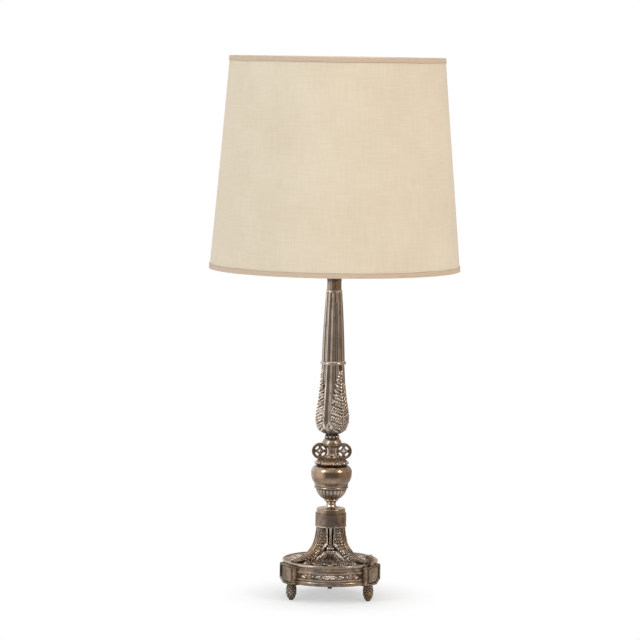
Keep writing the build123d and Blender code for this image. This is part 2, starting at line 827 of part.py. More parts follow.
def make_waist():
    """The waisted neck of the urn between its ears."""
    return turned(
        stack(
            z_waist,
            (WAIST_FOOT_R, 0, 0),
            (WAIST_R, WAIST_LOW_H, -WAIST_SWEEP),
            (WAIST_TOP_R, WAIST_HIGH_H, -WAIST_SWEEP / 2),
        ),
        bore_r,
    )


def make_echinus():
    """The cushion-shaped cap of the urn."""
    return turned(
        stack(
            z_echinus,
            (ECHINUS_FOOT_R, 0, 0),
            (ECHINUS_R, ECHINUS_UNDER_H, ECHINUS_SWELL),
            (ECHINUS_R, ECHINUS_BAND_H, ECHINUS_BAND_SWELL),
            (ECHINUS_TOP_R, ECHINUS_TOP_H, ECHINUS_SWELL),
        ),
        bore_r,
    )


def make_ear(side, neighbours):
    """A ring ear on one side of the urn's waist, cut where it meets the turned pieces."""
    with BuildPart() as ear:
        with BuildSketch(Plane.XZ):
            with Locations((side * EAR_CENTRE_R, ear_z)):
                Circle(EAR_R)
                Circle(EAR_HOLE_R, mode=Mode.SUBTRACT)
        extrude(amount=EAR_T / 2, both=True)
        fillet(ear.edges().filter_by(GeomType.CIRCLE), EAR_ROUND)
        for neighbour in neighbours:
            add(neighbour, mode=Mode.SUBTRACT)
    return ear.part


def make_rosette(side):
    """The four-petalled rosette inside a ring ear, with a boss at its middle."""
    with BuildPart() as rosette:
        with BuildSketch(Plane.XZ):
            with Locations((side * EAR_CENTRE_R, ear_z)):
                Rectangle(2 * EAR_HOLE_R, PETAL_W)
                Rectangle(PETAL_W, 2 * EAR_HOLE_R)
                Circle(ROSE_R)
                Circle(EAR_HOLE_R, mode=Mode.INTERSECT)
        extrude(amount=PETAL_T / 2, both=True)
        with BuildSketch(Plane.XZ):
            with Locations((side * EAR_CENTRE_R, ear_z)):
                Circle(BOSS_R)
        extrude(amount=BOSS_H / 2, both=True)
    return rosette.part


def make_bead_ring():
    """A short neck with a row of beads round its foot."""
    with BuildPart() as ring:
        with BuildSketch(Plane.XY.offset(z_beads)):
            Circle(BEAD_CORE_R)
        extrude(amount=BEAD_RING_H)
        with Locations(Plane.XY.offset(z_beads + BEAD_R)):
            with PolarLocations(BEAD_CORE_R, BEAD_COUNT):
                Sphere(BEAD_R)
        with BuildSketch(Plane.XY.offset(z_beads)):
            Circle(bore_r)
        extrude(amount=BEAD_RING_H, mode=Mode.SUBTRACT)
    return ring.part


# ---------------------------------------------------------------- baluster and shaft
def make_baluster():
    """The pear-shaped baluster, a hollow shell on the rod."""
    stations = stack(
        z_baluster,
        (BALUSTER_FOOT_R, 0, 0),
        (BALUSTER_BOWL_R, BALUSTER_BOWL_H, BALUSTER_BOWL_SWELL),
        (BALUSTER_R, BALUSTER_BELLY_H, BALUSTER_BELLY_SWELL),
        (BALUSTER_WAIST_R, BALUSTER_WAIST_H, BALUSTER_WAIST_SWELL),
        (BALUSTER_NECK_R, BALUSTER_NECK_H, 0),
        (BALUSTER_TOP_R, BALUSTER_TOP_H, 0),
    )
    return hollow_turned(stations, BALUSTER_WALL, BALUSTER_END, BALUSTER_END)


def make_shaft_ring():
    """The plain torus ring between baluster and shaft."""
    return turned(
        stack(
            z_shaft_ring,
            (SHAFT_RING_FOOT_R, 0, 0),
            (SHAFT_RING_FOOT_R, SHAFT_RING_H, SHAFT_RING_R - SHAFT_RING_FOOT_R),
        ),
        bore_r,
    )


def fluted_section(radius):
    """The shaft's section: broad arrises with a hollow flute between each pair."""
    pitch = 360 / FLUTE_COUNT
    crest = pitch - FLUTE_ARC
    hollow_r = radius * (1 - FLUTE_DEPTH)
    with BuildSketch() as section:
        with BuildLine():
            for index in range(FLUTE_COUNT):
                middle = index * pitch + FLUTE_PHASE
                start = polar(radius, middle - crest / 2)
                end = polar(radius, middle + crest / 2)
                hollow = polar(hollow_r, middle + pitch / 2)
                after = polar(radius, middle + pitch - crest / 2)
                ThreePointArc(start, polar(radius, middle), end)
                ThreePointArc(end, hollow, after)
        make_face()
    return section.sketch


def polar(radius, angle):
    """A point at an angle in degrees, on a circle about the axis."""
    return (radius * cos(radians(angle)), radius * sin(radians(angle)))


def make_shaft():
    """The tapering fluted shaft, hollow, closed at both ends round the rod."""
    with BuildPart() as shaft:
        for height, radius in (
            (z_shaft, SHAFT_FOOT_R),
            (z_shaft + SHAFT_MID_H, SHAFT_MID_R),
            (z_capital, SHAFT_TOP_R),
        ):
            with BuildSketch(Plane.XY.offset(height)):
                add(fluted_section(radius))
        loft()
        with BuildSketch(Plane.XY.offset(z_shaft)):
            Circle(bore_r)
        extrude(amount=SHAFT_H, mode=Mode.SUBTRACT)
        with BuildSketch(Plane.XY.offset(z_shaft + SHAFT_END)):
            Circle(SHAFT_BORE_R)
        extrude(amount=SHAFT_H - 2 * SHAFT_END, mode=Mode.SUBTRACT)
    return shaft.part


def make_capital():
    """The shaft's plain neck and the flared lip that carries the lampholder."""
    return turned(
        stack(
            z_capital,
            (CAPITAL_R, 0, 0),
            (CAPITAL_R, CAPITAL_NECK_H, 0),
            (CAPITAL_FLARE_R, CAPITAL_FLARE_H, -CAPITAL_FLARE_SAG),
            (CAPITAL_FLARE_R, CAPITAL_LIP_H, 0),
        ),
        bore_r,
    )


# ---------------------------------------------------------------- inside the base
def make_tie_rod():
    """The hollow threaded rod that clamps the whole stem and carries the lead."""
    with BuildPart() as rod:
        with BuildSketch(Plane.XY.offset(z_rod)):
            Circle(ROD_R)
            Circle(ROD_BORE_R, mode=Mode.SUBTRACT)
        extrude(amount=z_rod_top - z_rod)
    return rod.part


def make_rod_nut():
    """The nut under the deck."""
    with BuildPart() as nut:
        with BuildSketch(Plane.XY.offset(z_deck - WASHER_T - ROD_NUT_H)):
            RegularPolygon(ROD_NUT_ACROSS / 2, 6, major_radius=False)
            Circle(bore_r, mode=Mode.SUBTRACT)
        extrude(amount=ROD_NUT_H)
    return nut.part


def make_rod_washer():
    """The washer between nut and deck."""
    with BuildPart() as washer:
        with BuildSketch(Plane.XY.offset(z_deck - WASHER_T)):
            Circle(WASHER_R)
            Circle(bore_r, mode=Mode.SUBTRACT)
        extrude(amount=WASHER_T)
    return washer.part


def make_base_plate():
    """The plate that closes the base, notched round the blocks, with its holes."""
    with BuildPart() as plate:
        with BuildSketch(Plane.XY.offset(z_plate)):
            Circle(WALL_IN_R - PLATE_FIT)
            with PolarLocations(POST_CIRCLE_R, len(PANELS), start_angle=PANELS["right"]):
                Circle(PLATE_SCREW_R, mode=Mode.SUBTRACT)
            with Locations((BUSH_X, 0)):
                Circle(BUSH_HUB_R, mode=Mode.SUBTRACT)
        extrude(amount=PLATE_T)
        for angle in SIDES.values():
            add(block_space(angle), mode=Mode.SUBTRACT)
    return plate.part


def make_plate_screws():
    """Three screws that hold the plate to the deck's posts."""
    with BuildPart() as screws:
        with BuildSketch(Plane.XY.offset(z_plate)):
            with PolarLocations(POST_CIRCLE_R, len(PANELS), start_angle=PANELS["right"]):
                Circle(PLATE_SCREW_HEAD_R)
        extrude(amount=-PLATE_SCREW_HEAD_H)
        with BuildSketch(Plane.XY.offset(z_plate)):
            with PolarLocations(POST_CIRCLE_R, len(PANELS), start_angle=PANELS["right"]):
                Circle(PLATE_SCREW_R)
        extrude(amount=PLATE_T + PLATE_SCREW_GRIP)
    return screws.part


def make_ballast():
    """The cast ring that weights the base."""
    with BuildPart() as ballast:
        with BuildSketch(Plane.XY.offset(z_plate_top)):
            Circle(BALLAST_R)
            Circle(BALLAST_IN_R, mode=Mode.SUBTRACT)
        extrude(amount=BALLAST_H)
    return ballast.part


def make_cord_bush():
    """The rubber bush in the plate, with a flange each side, for the mains cord."""
    below = z_plate - BUSH_FLANGE_H
    with BuildPart() as bush:
        with BuildSketch(Plane.XY.offset(below)):
            with Locations((BUSH_X, 0)):
                Circle(BUSH_FLANGE_R)
        extrude(amount=BUSH_FLANGE_H)
        with BuildSketch(Plane.XY.offset(z_plate)):
            with Locations((BUSH_X, 0)):
                Circle(BUSH_HUB_R)
        extrude(amount=PLATE_T)
        with BuildSketch(Plane.XY.offset(z_plate_top)):
            with Locations((BUSH_X, 0)):
                Circle(BUSH_FLANGE_R)
        extrude(amount=BUSH_FLANGE_H)
        with BuildSketch(Plane.XY.offset(below)):
            with Locations((BUSH_X, 0)):
                Circle(BUSH_BORE_R)
        extrude(amount=PLATE_T + 2 * BUSH_FLANGE_H, mode=Mode.SUBTRACT)
    return bush.part


def make_terminal_block():
    """The terminal block on the plate, where the mains cord would join the lead."""
    with BuildPart() as block:
        with BuildSketch(Plane.XY.offset(z_plate_top)):
            with Locations((terminal_x + TERMINAL_L / 2, 0)):
                Rectangle(TERMINAL_L, TERMINAL_W)
        extrude(amount=terminal_h)
        chamfer(block.edges().filter_by(Axis.Z), TERMINAL_CHAMFER)
    return block.part


def make_inner_lead():
    """The lead from the terminal block, up through the rod, to the lampholder's core."""
    with BuildPart() as lead:
        with BuildLine():
            FilletPolyline((terminal_x, 0, lead_z), (0, 0, lead_z), (0, 0, z_core), radius=LEAD_BEND_R)
        with BuildSketch(Plane(origin=(terminal_x, 0, lead_z), z_dir=(-1, 0, 0))):
            Circle(LEAD_R)
        sweep()
    return lead.part


# ---------------------------------------------------------------- lampholder, switch, bulb
def make_holder_cap():
    """The domed lower half of the lampholder, screwed on the rod."""
    dome = stack(
        z_holder, (HOLDER_BASE_R, 0, 0), (HOLDER_R, HOLDER_DOME_H, HOLDER_DOME_SWELL)
    )
    with BuildPart() as cap:
        add(turned(dome, bore_r))
        add(cavity(dome, HOLDER_WALL, z_holder + 2 * HOLDER_WALL, z_barrel), mode=Mode.SUBTRACT)
    return cap.part


def switch_plane():
    """The plane at the lamp's axis whose normal is the switch's stem, towards the front."""
    return Plane(origin=(0, 0, z_barrel + SWITCH_RISE), x_dir=(1, 0, 0), z_dir=(0, -1, 0))


def make_holder_body():
    """The lampholder's barrel: shoulder for the shade, outer thread, boss for the switch."""
    with BuildPart() as body:
        add(
            turned(
                stack(
                    z_barrel,
                    (HOLDER_R, 0, 0),
                    (HOLDER_R, HOLDER_BARREL_H, 0),
                    (HOLDER_SHOULDER_R, 0, 0),
                    (HOLDER_SHOULDER_R, HOLDER_SHOULDER_T, 0),
                    (HOLDER_THREAD_R, 0, 0),
                    (HOLDER_THREAD_R, HOLDER_THREAD_H, 0),
                ),
                HOLDER_BORE_R,
            )
        )
        with BuildSketch(switch_plane().offset(HOLDER_R - HOLDER_WALL)):
            Circle(SWITCH_BOSS_R)
        extrude(amount=HOLDER_WALL + SWITCH_BOSS_L)
        with BuildSketch(switch_plane()):
            Circle(SWITCH_STEM_R + SWITCH_FIT)
        extrude(amount=HOLDER_R + SWITCH_BOSS_L, mode=Mode.SUBTRACT)
    return body.part


def make_holder_core():
    """The ceramic core: a thick floor with a lining round the contact shell."""
    core_r = HOLDER_BORE_R - CORE_FIT
    with BuildPart() as core:
        with BuildSketch(Plane.XY.offset(z_core)):
            Circle(core_r)
        extrude(amount=CORE_T)
        with BuildSketch(Plane.XY.offset(z_tab)):
            Circle(core_r)
            Circle(SHELL_R + CORE_FIT, mode=Mode.SUBTRACT)
        extrude(amount=CORE_RISE)
    return core.part


def make_contact_shell():
    """The shell that takes the bulb's cap."""
    with BuildPart() as shell:
        with BuildSketch(Plane.XY.offset(z_tab)):
            Circle(SHELL_R)
            Circle(SHELL_R - SHELL_WALL, mode=Mode.SUBTRACT)
        extrude(amount=SHELL_H)
    return shell.part


def make_centre_contact():
    """The tab that meets the bulb's tip."""
    return turned(stack(z_tab, (TAB_R, 0, 0), (TAB_TOP_R, TAB_H, TAB_SWELL)), 0)


def make_switch_knob():
    """The switch's stem, its round base and the wing that fingers turn."""
    knob_start = HOLDER_R + SWITCH_BOSS_L + SWITCH_GAP
    with BuildPart() as knob:
        with BuildSketch(switch_plane().offset(HOLDER_BORE_R + SWITCH_GAP)):
            Circle(SWITCH_STEM_R)
        extrude(amount=knob_start - HOLDER_BORE_R)
        with BuildSketch(switch_plane().offset(knob_start)):
            Circle(SWITCH_KNOB_R)
        extrude(amount=SWITCH_KNOB_L)
        with BuildSketch(switch_plane().offset(knob_start + SWITCH_KNOB_L)):
            SlotOverall(SWITCH_WING_W, SWITCH_WING_T)
        extrude(amount=SWITCH_WING_L)
    return knob.part


def make_bulb_cap():
    """The bulb's cap: contact tip, insulator, and the barrel that sits in the shell."""
    return turned(
        stack(
            z_bulb_tip,
            (BULB_TIP_R, 0, 0),
            (BULB_TIP_R, BULB_TIP_H / 2, 0),
            (BULB_INSULATOR_R, BULB_TIP_H / 2 + BULB_SHOULDER_H, -BULB_INSULATOR_SAG),
            (BULB_CAP_R, 0, 0),
            (BULB_CAP_R, BULB_THREAD_H, 0),
        ),
        0,
    )


def make_bulb_glass():
    """The candle-shaped glass envelope."""
    stations = stack(
        z_bulb_neck,
        (BULB_NECK_R, 0, 0),
        (BULB_R, BULB_SWELL_H, BULB_LOW_SWELL),
        (BULB_CROWN_R, BULB_TAIL_H, BULB_HIGH_SWELL),
    )
    with BuildPart() as glass:
        add(turned(stations, 0))
        top = z_bulb_neck + BULB_SWELL_H + BULB_TAIL_H
        add(cavity(stations, GLASS_WALL, z_bulb_neck, top - GLASS_WALL), mode=Mode.SUBTRACT)
    return glass.part


def make_filament():
    """The post in the bulb with its upright light sticks between two discs."""
    low = z_bulb_neck + FILAMENT_POST_H
    high = low + FILAMENT_DISC_T + FILAMENT_H
    with BuildPart() as filament:
        with BuildSketch(Plane.XY.offset(z_bulb_neck)):
            Circle(FILAMENT_POST_R)
        extrude(amount=FILAMENT_POST_H)
        for height in (low, high):
            with BuildSketch(Plane.XY.offset(height)):
                Circle(FILAMENT_DISC_R)
            extrude(amount=FILAMENT_DISC_T)
        with BuildSketch(Plane.XY.offset(low + FILAMENT_DISC_T)):
            with PolarLocations(FILAMENT_SPREAD, FILAMENT_COUNT):
                Circle(FILAMENT_R)
        extrude(amount=FILAMENT_H)
    return filament.part


# ---------------------------------------------------------------- shade
def shade_r(height):
    """The shade cover's outer radius at a height over its lower edge."""
    return SHADE_BOTTOM_R - shade_slope * height


def band(low, high, inner, outer):
    """A cone-shaped band on the shade between two heights over its lower edge.

    Inner and outer are distances outwards from the cover's outer face.
    """
    with BuildPart() as ring:
        with BuildSketch(Plane.XZ):
            with BuildLine():
                Polyline(
                    (shade_r(low) + inner, z_shade + low),
                    (shade_r(low) + outer, z_shade + low),
                    (shade_r(high) + outer, z_shade + high),
                    (shade_r(high) + inner, z_shade + high),
                    close=True,
                )
            make_face()
        revolve(axis=Axis.Z)
    return ring.part


def make_top_wire():
    """The wire ring inside the shade's upper edge."""
    height = SHADE_H - WIRE_R
    with BuildPart() as wire:
        with BuildSketch(Plane.XZ):
            with Locations((shade_r(SHADE_H) - COVER_T - WIRE_R, z_shade + height)):
                Circle(WIRE_R)
        revolve(axis=Axis.Z)
    return wire.part


def make_spider():
    """The lower wire ring, three rising arms and the fitter ring that sits on the lampholder."""
    ring_r = shade_r(2 * WIRE_R) - COVER_T - WIRE_R
    hub_r = HOLDER_SHOULDER_R + SPIDER_ARM_SET_OUT
    hub_z = z_fitter + FITTER_T - SPIDER_ARM_R
    ring_z = z_shade + WIRE_R
    with BuildPart() as spider:
        with BuildSketch(Plane.XZ):
            with Locations((ring_r, ring_z)):
                Circle(WIRE_R)
        revolve(axis=Axis.Z)
        for angle in SIDES.values():
            start = Vector(ring_r * cos(radians(angle)), ring_r * sin(radians(angle)), ring_z)
            end = Vector(hub_r * cos(radians(angle)), hub_r * sin(radians(angle)), hub_z)
            run = end - start
            with BuildSketch(Plane(origin=start, z_dir=run)):
                Circle(SPIDER_ARM_R)
            extrude(amount=run.length)
        with BuildSketch(Plane.XY.offset(z_fitter)):
            Circle(FITTER_R)
            Circle(FITTER_IN_R, mode=Mode.SUBTRACT)
        extrude(amount=FITTER_T)
    return spider.part


def make_shade_ring():
    """The ring that screws down on the fitter, with grips round its rim."""
    with BuildPart() as ring:
        with BuildSketch(Plane.XY.offset(z_shade_ring)):
            Circle(SHADE_RING_R)
            Circle(HOLDER_THREAD_R + MOVING_GAP, mode=Mode.SUBTRACT)
            with PolarLocations(SHADE_RING_R, SHADE_RING_GRIPS):
                Circle(SHADE_RING_GRIP_R, mode=Mode.SUBTRACT)
        extrude(amount=SHADE_RING_H)
    return ring.part


def main():
    """Make every piece and write it."""
    for name, angle in SIDES.items():
        save(make_foot(angle), f"foot_{name}")
    save(make_plinth(REAR, (-1, 1)), "plinth_rear")
    save(make_plinth(LEFT, (-1,)), "plinth_left")
    save(make_plinth(RIGHT, (1,)), "plinth_right")
    for name, middle in PANELS.items():
        save(make_wall_panel(middle), f"wall_panel_{name}")
    save(make_deck(), "base_deck")
    dome = make_dome()
    save(dome, "leaf_dome")
    for name, angle in SIDES.items():
        save(make_console(angle, dome), f"console_{name}")
    save(make_console_screws(), "console_screws")
    save(make_lug(), "scroll_lug")
    save(make_stem(), "stem_column")
    save(make_collar(), "collar_drum")
    save(make_collar_cap(), "collar_cap")

    save(make_spool(), "urn_spool")
    save(make_bowl(), "urn_bowl")
    save(make_urn_body(), "urn_body")
    flange = make_flange()
    waist = make_waist()
    echinus = make_echinus()
    save(flange, "urn_flange")
    save(waist, "urn_waist")
    save(echinus, "urn_cap")
    for name, side in {"left": -1, "right": 1}.items():
        save(make_ear(side, (flange, waist, echinus)), f"ear_{name}")
        save(make_rosette(side), f"rosette_{name}")
    save(make_bead_ring(), "bead_ring")
    save(make_baluster(), "baluster")
    save(make_shaft_ring(), "shaft_ring")
    save(make_shaft(), "fluted_shaft")
    save(make_capital(), "shaft_capital")

    save(make_tie_rod(), "tie_rod")
    save(make_rod_nut(), "rod_nut")
    save(make_rod_washer(), "rod_washer")
    save(make_base_plate(), "base_plate")
    save(make_plate_screws(), "plate_screws")
    save(make_ballast(), "ballast_ring")
    save(make_cord_bush(), "cord_bush")
    save(make_terminal_block(), "terminal_block")
    save(make_inner_lead(), "inner_lead")

    save(make_holder_cap(), "holder_cap")
    save(make_holder_body(), "holder_body")
    save(make_holder_core(), "holder_core")
    save(make_contact_shell(), "contact_shell")
    save(make_centre_contact(), "centre_contact")
    save(make_switch_knob(), "switch_knob")
    save(make_bulb_cap(), "bulb_cap")
    save(make_bulb_glass(), "bulb_glass")
    save(make_filament(), "bulb_filament")

    save(band(0, SHADE_H, -COVER_T, 0), "shade_cover")
    save(band(0, TRIM_H, 0, TRIM_T), "trim_bottom")
    save(band(SHADE_H - TRIM_H, SHADE_H, 0, TRIM_T), "trim_top")
    save(make_top_wire(), "shade_top_wire")
    save(make_spider(), "shade_spider")
    save(make_shade_ring(), "shade_ring")


main()
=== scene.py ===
"""Dresses a candlestick lamp: tarnished silver with cast leaf ornament, under a fabric drum shade.

Lengths are metres and +Z is up, as in the frame. Most metal pieces take their outline from the solid they
stand for; the ring ears, rosettes, beads and lug take only their place and main sizes from theirs.
Ornament is lifted or sunk along the surface, and the same relief says how worn a place is.
"""
import math

import bmesh
import bpy
import numpy as np
from mathutils import Matrix, Vector


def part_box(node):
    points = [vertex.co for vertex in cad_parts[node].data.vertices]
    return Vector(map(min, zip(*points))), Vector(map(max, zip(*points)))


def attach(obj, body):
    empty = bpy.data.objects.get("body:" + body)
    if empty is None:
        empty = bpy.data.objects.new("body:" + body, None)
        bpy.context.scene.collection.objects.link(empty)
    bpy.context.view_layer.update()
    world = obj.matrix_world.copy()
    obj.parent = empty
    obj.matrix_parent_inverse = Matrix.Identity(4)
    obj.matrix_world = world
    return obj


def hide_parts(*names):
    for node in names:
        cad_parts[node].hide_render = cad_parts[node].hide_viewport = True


bl_info = {
    "name": "Candlestick lamp",
    "version": (1, 0, 0),
    "blender": (4, 5, 0),
    "location": "3D View > Sidebar > Lamp",
    "description": "Dresses a candlestick lamp in tarnished silver, with a fabric drum shade",
    "category": "Object",
}

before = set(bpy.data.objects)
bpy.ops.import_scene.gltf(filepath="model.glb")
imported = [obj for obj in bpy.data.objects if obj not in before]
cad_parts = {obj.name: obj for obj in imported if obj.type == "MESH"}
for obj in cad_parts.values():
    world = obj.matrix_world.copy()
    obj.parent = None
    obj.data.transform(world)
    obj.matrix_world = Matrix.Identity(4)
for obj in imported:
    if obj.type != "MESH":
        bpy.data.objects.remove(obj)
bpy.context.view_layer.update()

MM = 0.001
# Directions in degrees, seen from above, of the blocks with their feet and consoles, and of the wall panels.
SIDES = {"rear": 90, "left": 210, "right": 330}
PANELS = {"front": 270, "right": 30, "left": 150}
FRONT = math.radians(270)
# Half the angle from one block to the next.
HALF_THIRD = math.radians(60)
# The bore for the rod, through every piece of the stem.
BORE = 4.4 * MM
# Points nearer than this are one point.
CLOSE = 2e-6
# Edges that turn more than this stay crisp.
SHARP = math.radians(38)
# Patina of plain turned silver, and of the ends that other pieces hide.
PLAIN = 0.62
HIDDEN = 0.3


# ---------------------------------------------------------------- settings
def count_setting(name, description, default):
    return bpy.props.IntProperty(name=name, description=description, default=default)


def number_setting(name, description, default):
    return bpy.props.FloatProperty(name=name, description=description, default=default)


def length_setting(name, description, default):
    return bpy.props.FloatProperty(name=name, description=description, unit="LENGTH", default=default)


def angle_setting(name, description, degrees):
    turn = math.radians(degrees)
    return bpy.props.FloatProperty(name=name, description=description, subtype="ANGLE", default=turn)


def colour_setting(name, description, default):
    return bpy.props.FloatVectorProperty(
        name=name, description=description, subtype="COLOR", size=3, default=default
    )


class OrnamentSettings(bpy.types.PropertyGroup):
    """Counts and depths of the cast ornament."""

    flutes: count_setting("Flutes", "Hollow flutes round shaft and baluster", 12)
    flute_turn: angle_setting("Flute turn", "Angle of the first crest", 27)
    flute_arc: angle_setting("Flute width", "Angle that one hollow takes", 18.5)
    flute_depth: number_setting("Flute depth", "Depth as a share of the radius", 0.1)
    gadroons: count_setting("Gadroons", "Lobes round the urn's bowl", 24)
    gadroon_depth: length_setting("Gadroon depth", "Depth of the grooves", 1.3 * MM)
    dome_leaves: count_setting("Dome leaves", "Leaves round the dome", 18)
    leaf_depth: length_setting("Leaf depth", "Depth of the dome's leaves", 1.5 * MM)
    beads: count_setting("Beads", "Beads in the bead ring", 12)
    cone_scales: count_setting("Cone scales", "Scales round a foot", 8)
    scale_depth: length_setting("Scale depth", "Depth between a foot's scales", 1.3 * MM)


class FinishSettings(bpy.types.PropertyGroup):
    """Colours of the silver and the shade."""

    silver: colour_setting("Silver", "Silver plate", (0.46, 0.39, 0.335))
    warm_silver: colour_setting("Warm silver", "Plate where the brass below shows", (0.44, 0.315, 0.215))
    # This dark colour is also painted as shade into crevices and between parts.
    tarnish: colour_setting("Tarnish", "Oxide in the hollows", (0.075, 0.050, 0.034))
    worn: colour_setting("Worn silver", "Edges rubbed bright", (0.78, 0.70, 0.62))
    fabric: colour_setting("Shade fabric", "Cream fabric", (0.76, 0.655, 0.505))
    tape: colour_setting("Shade tape", "Tape round the shade's edges", (0.66, 0.50, 0.365))


class StudioSettings(bpy.types.PropertyGroup):
    """Camera and light."""

    azimuth: angle_setting("Azimuth", "Camera's turn round the lamp", 0.0)
    distance: length_setting("Distance", "From the lamp's axis to the camera", 4.2)
    height: length_setting("Height", "Camera's height", 0.77)
    lens: number_setting("Lens", "Focal length in millimetres", 169.7)
    roll: angle_setting("Roll", "Camera's tilt to one side", 0.85)
    aim_x: length_setting("Aim across", "Point aimed at, right of the axis", -0.0193)
    aim_z: length_setting("Aim height", "Height of the point aimed at", 0.3909)
    softbox_power: number_setting("Softbox power", "Watts of which each softbox takes its share", 14.2)
    room: number_setting("Room light", "Strength of the room's light on matt surfaces", 0.59)


# ---------------------------------------------------------------- reading outlines from the solids
def section_edges(node, centre, angle):
    """Cut a solid by an upright half plane at an angle: points as (radius, height), and their links."""
    shape = bmesh.new()
    shape.from_mesh(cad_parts[node].data)
    bmesh.ops.remove_doubles(shape, verts=shape.verts, dist=CLOSE)
    outward = Vector((math.cos(angle), math.sin(angle), 0))
    across = Vector((-math.sin(angle), math.cos(angle), 0))
    origin = Vector((centre[0], centre[1], 0))
    everything = shape.verts[:] + shape.edges[:] + shape.faces[:]
    bmesh.ops.bisect_plane(shape, geom=everything, dist=CLOSE / 2, plane_co=origin, plane_no=across)
    points, links = {}, {}
    for edge in shape.edges:
        ends = [vert for vert in edge.verts if abs((vert.co - origin).dot(across)) < CLOSE]
        if len(ends) < 2 or min((vert.co - origin).dot(outward) for vert in ends) < -CLOSE:
            continue
        for vert, other in (ends, ends[::-1]):
            points[vert.index] = ((vert.co - origin).dot(outward), vert.co.z)
            links.setdefault(vert.index, []).append(other.index)
    shape.free()
    return points, links


def walk(points, links, start, step, goal):
    """Follow a section from one corner until it reaches another."""
    path, previous, here = [start], start, step
    while here != goal and len(path) < len(points):
        path.append(here)
        ahead = [index for index in links[here] if index != previous and index not in path[-3:]]
        if not ahead:
            return []
        previous, here = here, ahead[0]
    return path + [goal] if here == goal else []


def outline(node, centre=(0, 0), angle=0.0, inner=False):
    """The outside of a solid's section, from its lowest outer corner to its highest."""
    points, links = section_edges(node, centre, angle)
    flip = -1 if inner else 1
    start = min(points, key=lambda index: (round(points[index][1], 6), -flip * points[index][0]))
    goal = max(points, key=lambda index: (round(points[index][1], 6), flip * points[index][0]))
    paths = [walk(points, links, start, step, goal) for step in links[start]]
    paths = [np.array([points[index] for index in path]) for path in paths if path]
    if not paths:
        raise RuntimeError(f"no outline found on {node}")
    tolerance = 0.02 * MM
    return thinned(max(paths, key=lambda path: flip * mean_radius(path)), tolerance)


def mean_radius(path):
    """The mean radius along a path, weighed by length."""
    steps = np.linalg.norm(np.diff(path, axis=0), axis=1)
    return float(((path[1:, 0] + path[:-1, 0]) / 2 * steps).sum() / steps.sum())


def thinned(path, tolerance):
    """Drop the points that lie within a tolerance of the line between their neighbours kept."""
    chord = path[-1] - path[0]
    length = np.linalg.norm(chord) or 1.0
    away = np.abs(chord[0] * (path[:, 1] - path[0, 1]) - chord[1] * (path[:, 0] - path[0, 0])) / length
    furthest = int(away.argmax())
    if away[furthest] < tolerance or len(path) < 3:
        return path[[0, -1]]
    left = thinned(path[: furthest + 1], tolerance)
    right = thinned(path[furthest:], tolerance)
    return np.vstack([left[:-1], right])


def eased(path, radius, turn=math.radians(14)):
    """Round each corner of a path that turns more than an angle, as cast and polished metal is."""
    most = 0.42
    out = [path[0]]
    for before, corner, after in zip(path, path[1:], path[2:]):
        back, ahead = before - corner, after - corner
        back_length, ahead_length = np.linalg.norm(back), np.linalg.norm(ahead)
        cosine = -float(back @ ahead) / max(back_length * ahead_length, 1e-12)
        if math.acos(max(-1.0, min(1.0, cosine))) < turn:
            out.append(corner)
            continue
        cut = min(radius, most * back_length, most * ahead_length)
        first, last = corner + back / back_length * cut, corner + ahead / ahead_length * cut
        for share in (0.0, 0.25, 0.5, 0.75, 1.0):
            out.append(first * (1 - share) ** 2 + corner * 2 * share * (1 - share) + last * share**2)
    return np.array(out + [path[-1]])


def divided(path, step):
    """Split the long stretches of a path, keeping all its points."""
    out = [path[0]]
    for start, end in zip(path, path[1:]):
        count = max(1, math.ceil(np.linalg.norm(end - start) / step))
        out.extend(start + (end - start) * k / count for k in range(1, count + 1))
    return np.array(out)


def path_length(path):
    """Distance along a path at each of its points."""
    steps = np.linalg.norm(np.diff(path, axis=0), axis=1)
    return np.concatenate([[0], np.cumsum(steps)])


def path_normals(path):
    """Directions out of a path, to the right as it goes up."""
    along = np.gradient(path, axis=0)
    side = np.stack([along[:, 1], -along[:, 0]], 1)
    return side / np.maximum(np.linalg.norm(side, axis=1, keepdims=True), 1e-12)


# ---------------------------------------------------------------- making meshes
def make_mesh(name, points, quads, patina=None, uv=None):
    """A mesh of quads. Patina is 0 in a blackened hollow and 1 on a worn crest."""
    mesh = bpy.data.meshes.new(name)
    mesh.vertices.add(len(points))
    mesh.vertices.foreach_set("co", np.asarray(points, np.float32).ravel())
    mesh.loops.add(quads.size)
    mesh.loops.foreach_set("vertex_index", quads.astype(np.int32).ravel())
    mesh.polygons.add(len(quads))
    mesh.polygons.foreach_set("loop_start", np.arange(0, quads.size, 4, dtype=np.int32))
    if uv is not None:
        layer = mesh.uv_layers.new(name="Surface")
        layer.uv.foreach_set("vector", np.asarray(uv, np.float32).ravel())
    mesh.update(calc_edges=True)
    if patina is not None:
        attribute = mesh.attributes.new("patina", "FLOAT", "POINT")
        attribute.data.foreach_set("value", np.asarray(patina, np.float32).ravel())
    return mesh


def grid_quads(columns, rows, wrap_columns=True, wrap_rows=False):
    """The quads of a grid whose points are stored column by column."""
    last_i = columns if wrap_columns else columns - 1
    last_j = rows if wrap_rows else rows - 1
    i, j = np.meshgrid(np.arange(last_i), np.arange(last_j), indexing="ij")
    i, j = i.ravel(), j.ravel()
    right, up = (i + 1) % columns, (j + 1) % rows
    return np.stack([i * rows + j, right * rows + j, right * rows + up, i * rows + up], 1)


def grid_uv(columns, rows, width, height, wrap_rows=False):
    """Texture coordinates in metres for each corner of a wrapped grid."""
    last_j = rows if wrap_rows else rows - 1
    i, j = np.meshgrid(np.arange(columns), np.arange(last_j), indexing="ij")
    i, j = i.ravel(), j.ravel()
    top = np.concatenate([height, height[-1:]])
    u = [i, i + 1, i + 1, i]
    v = [top[j], top[j], top[j + 1], top[j + 1]]
    return np.stack([np.stack(u, 1) / columns * width, np.stack(v, 1)], 2)


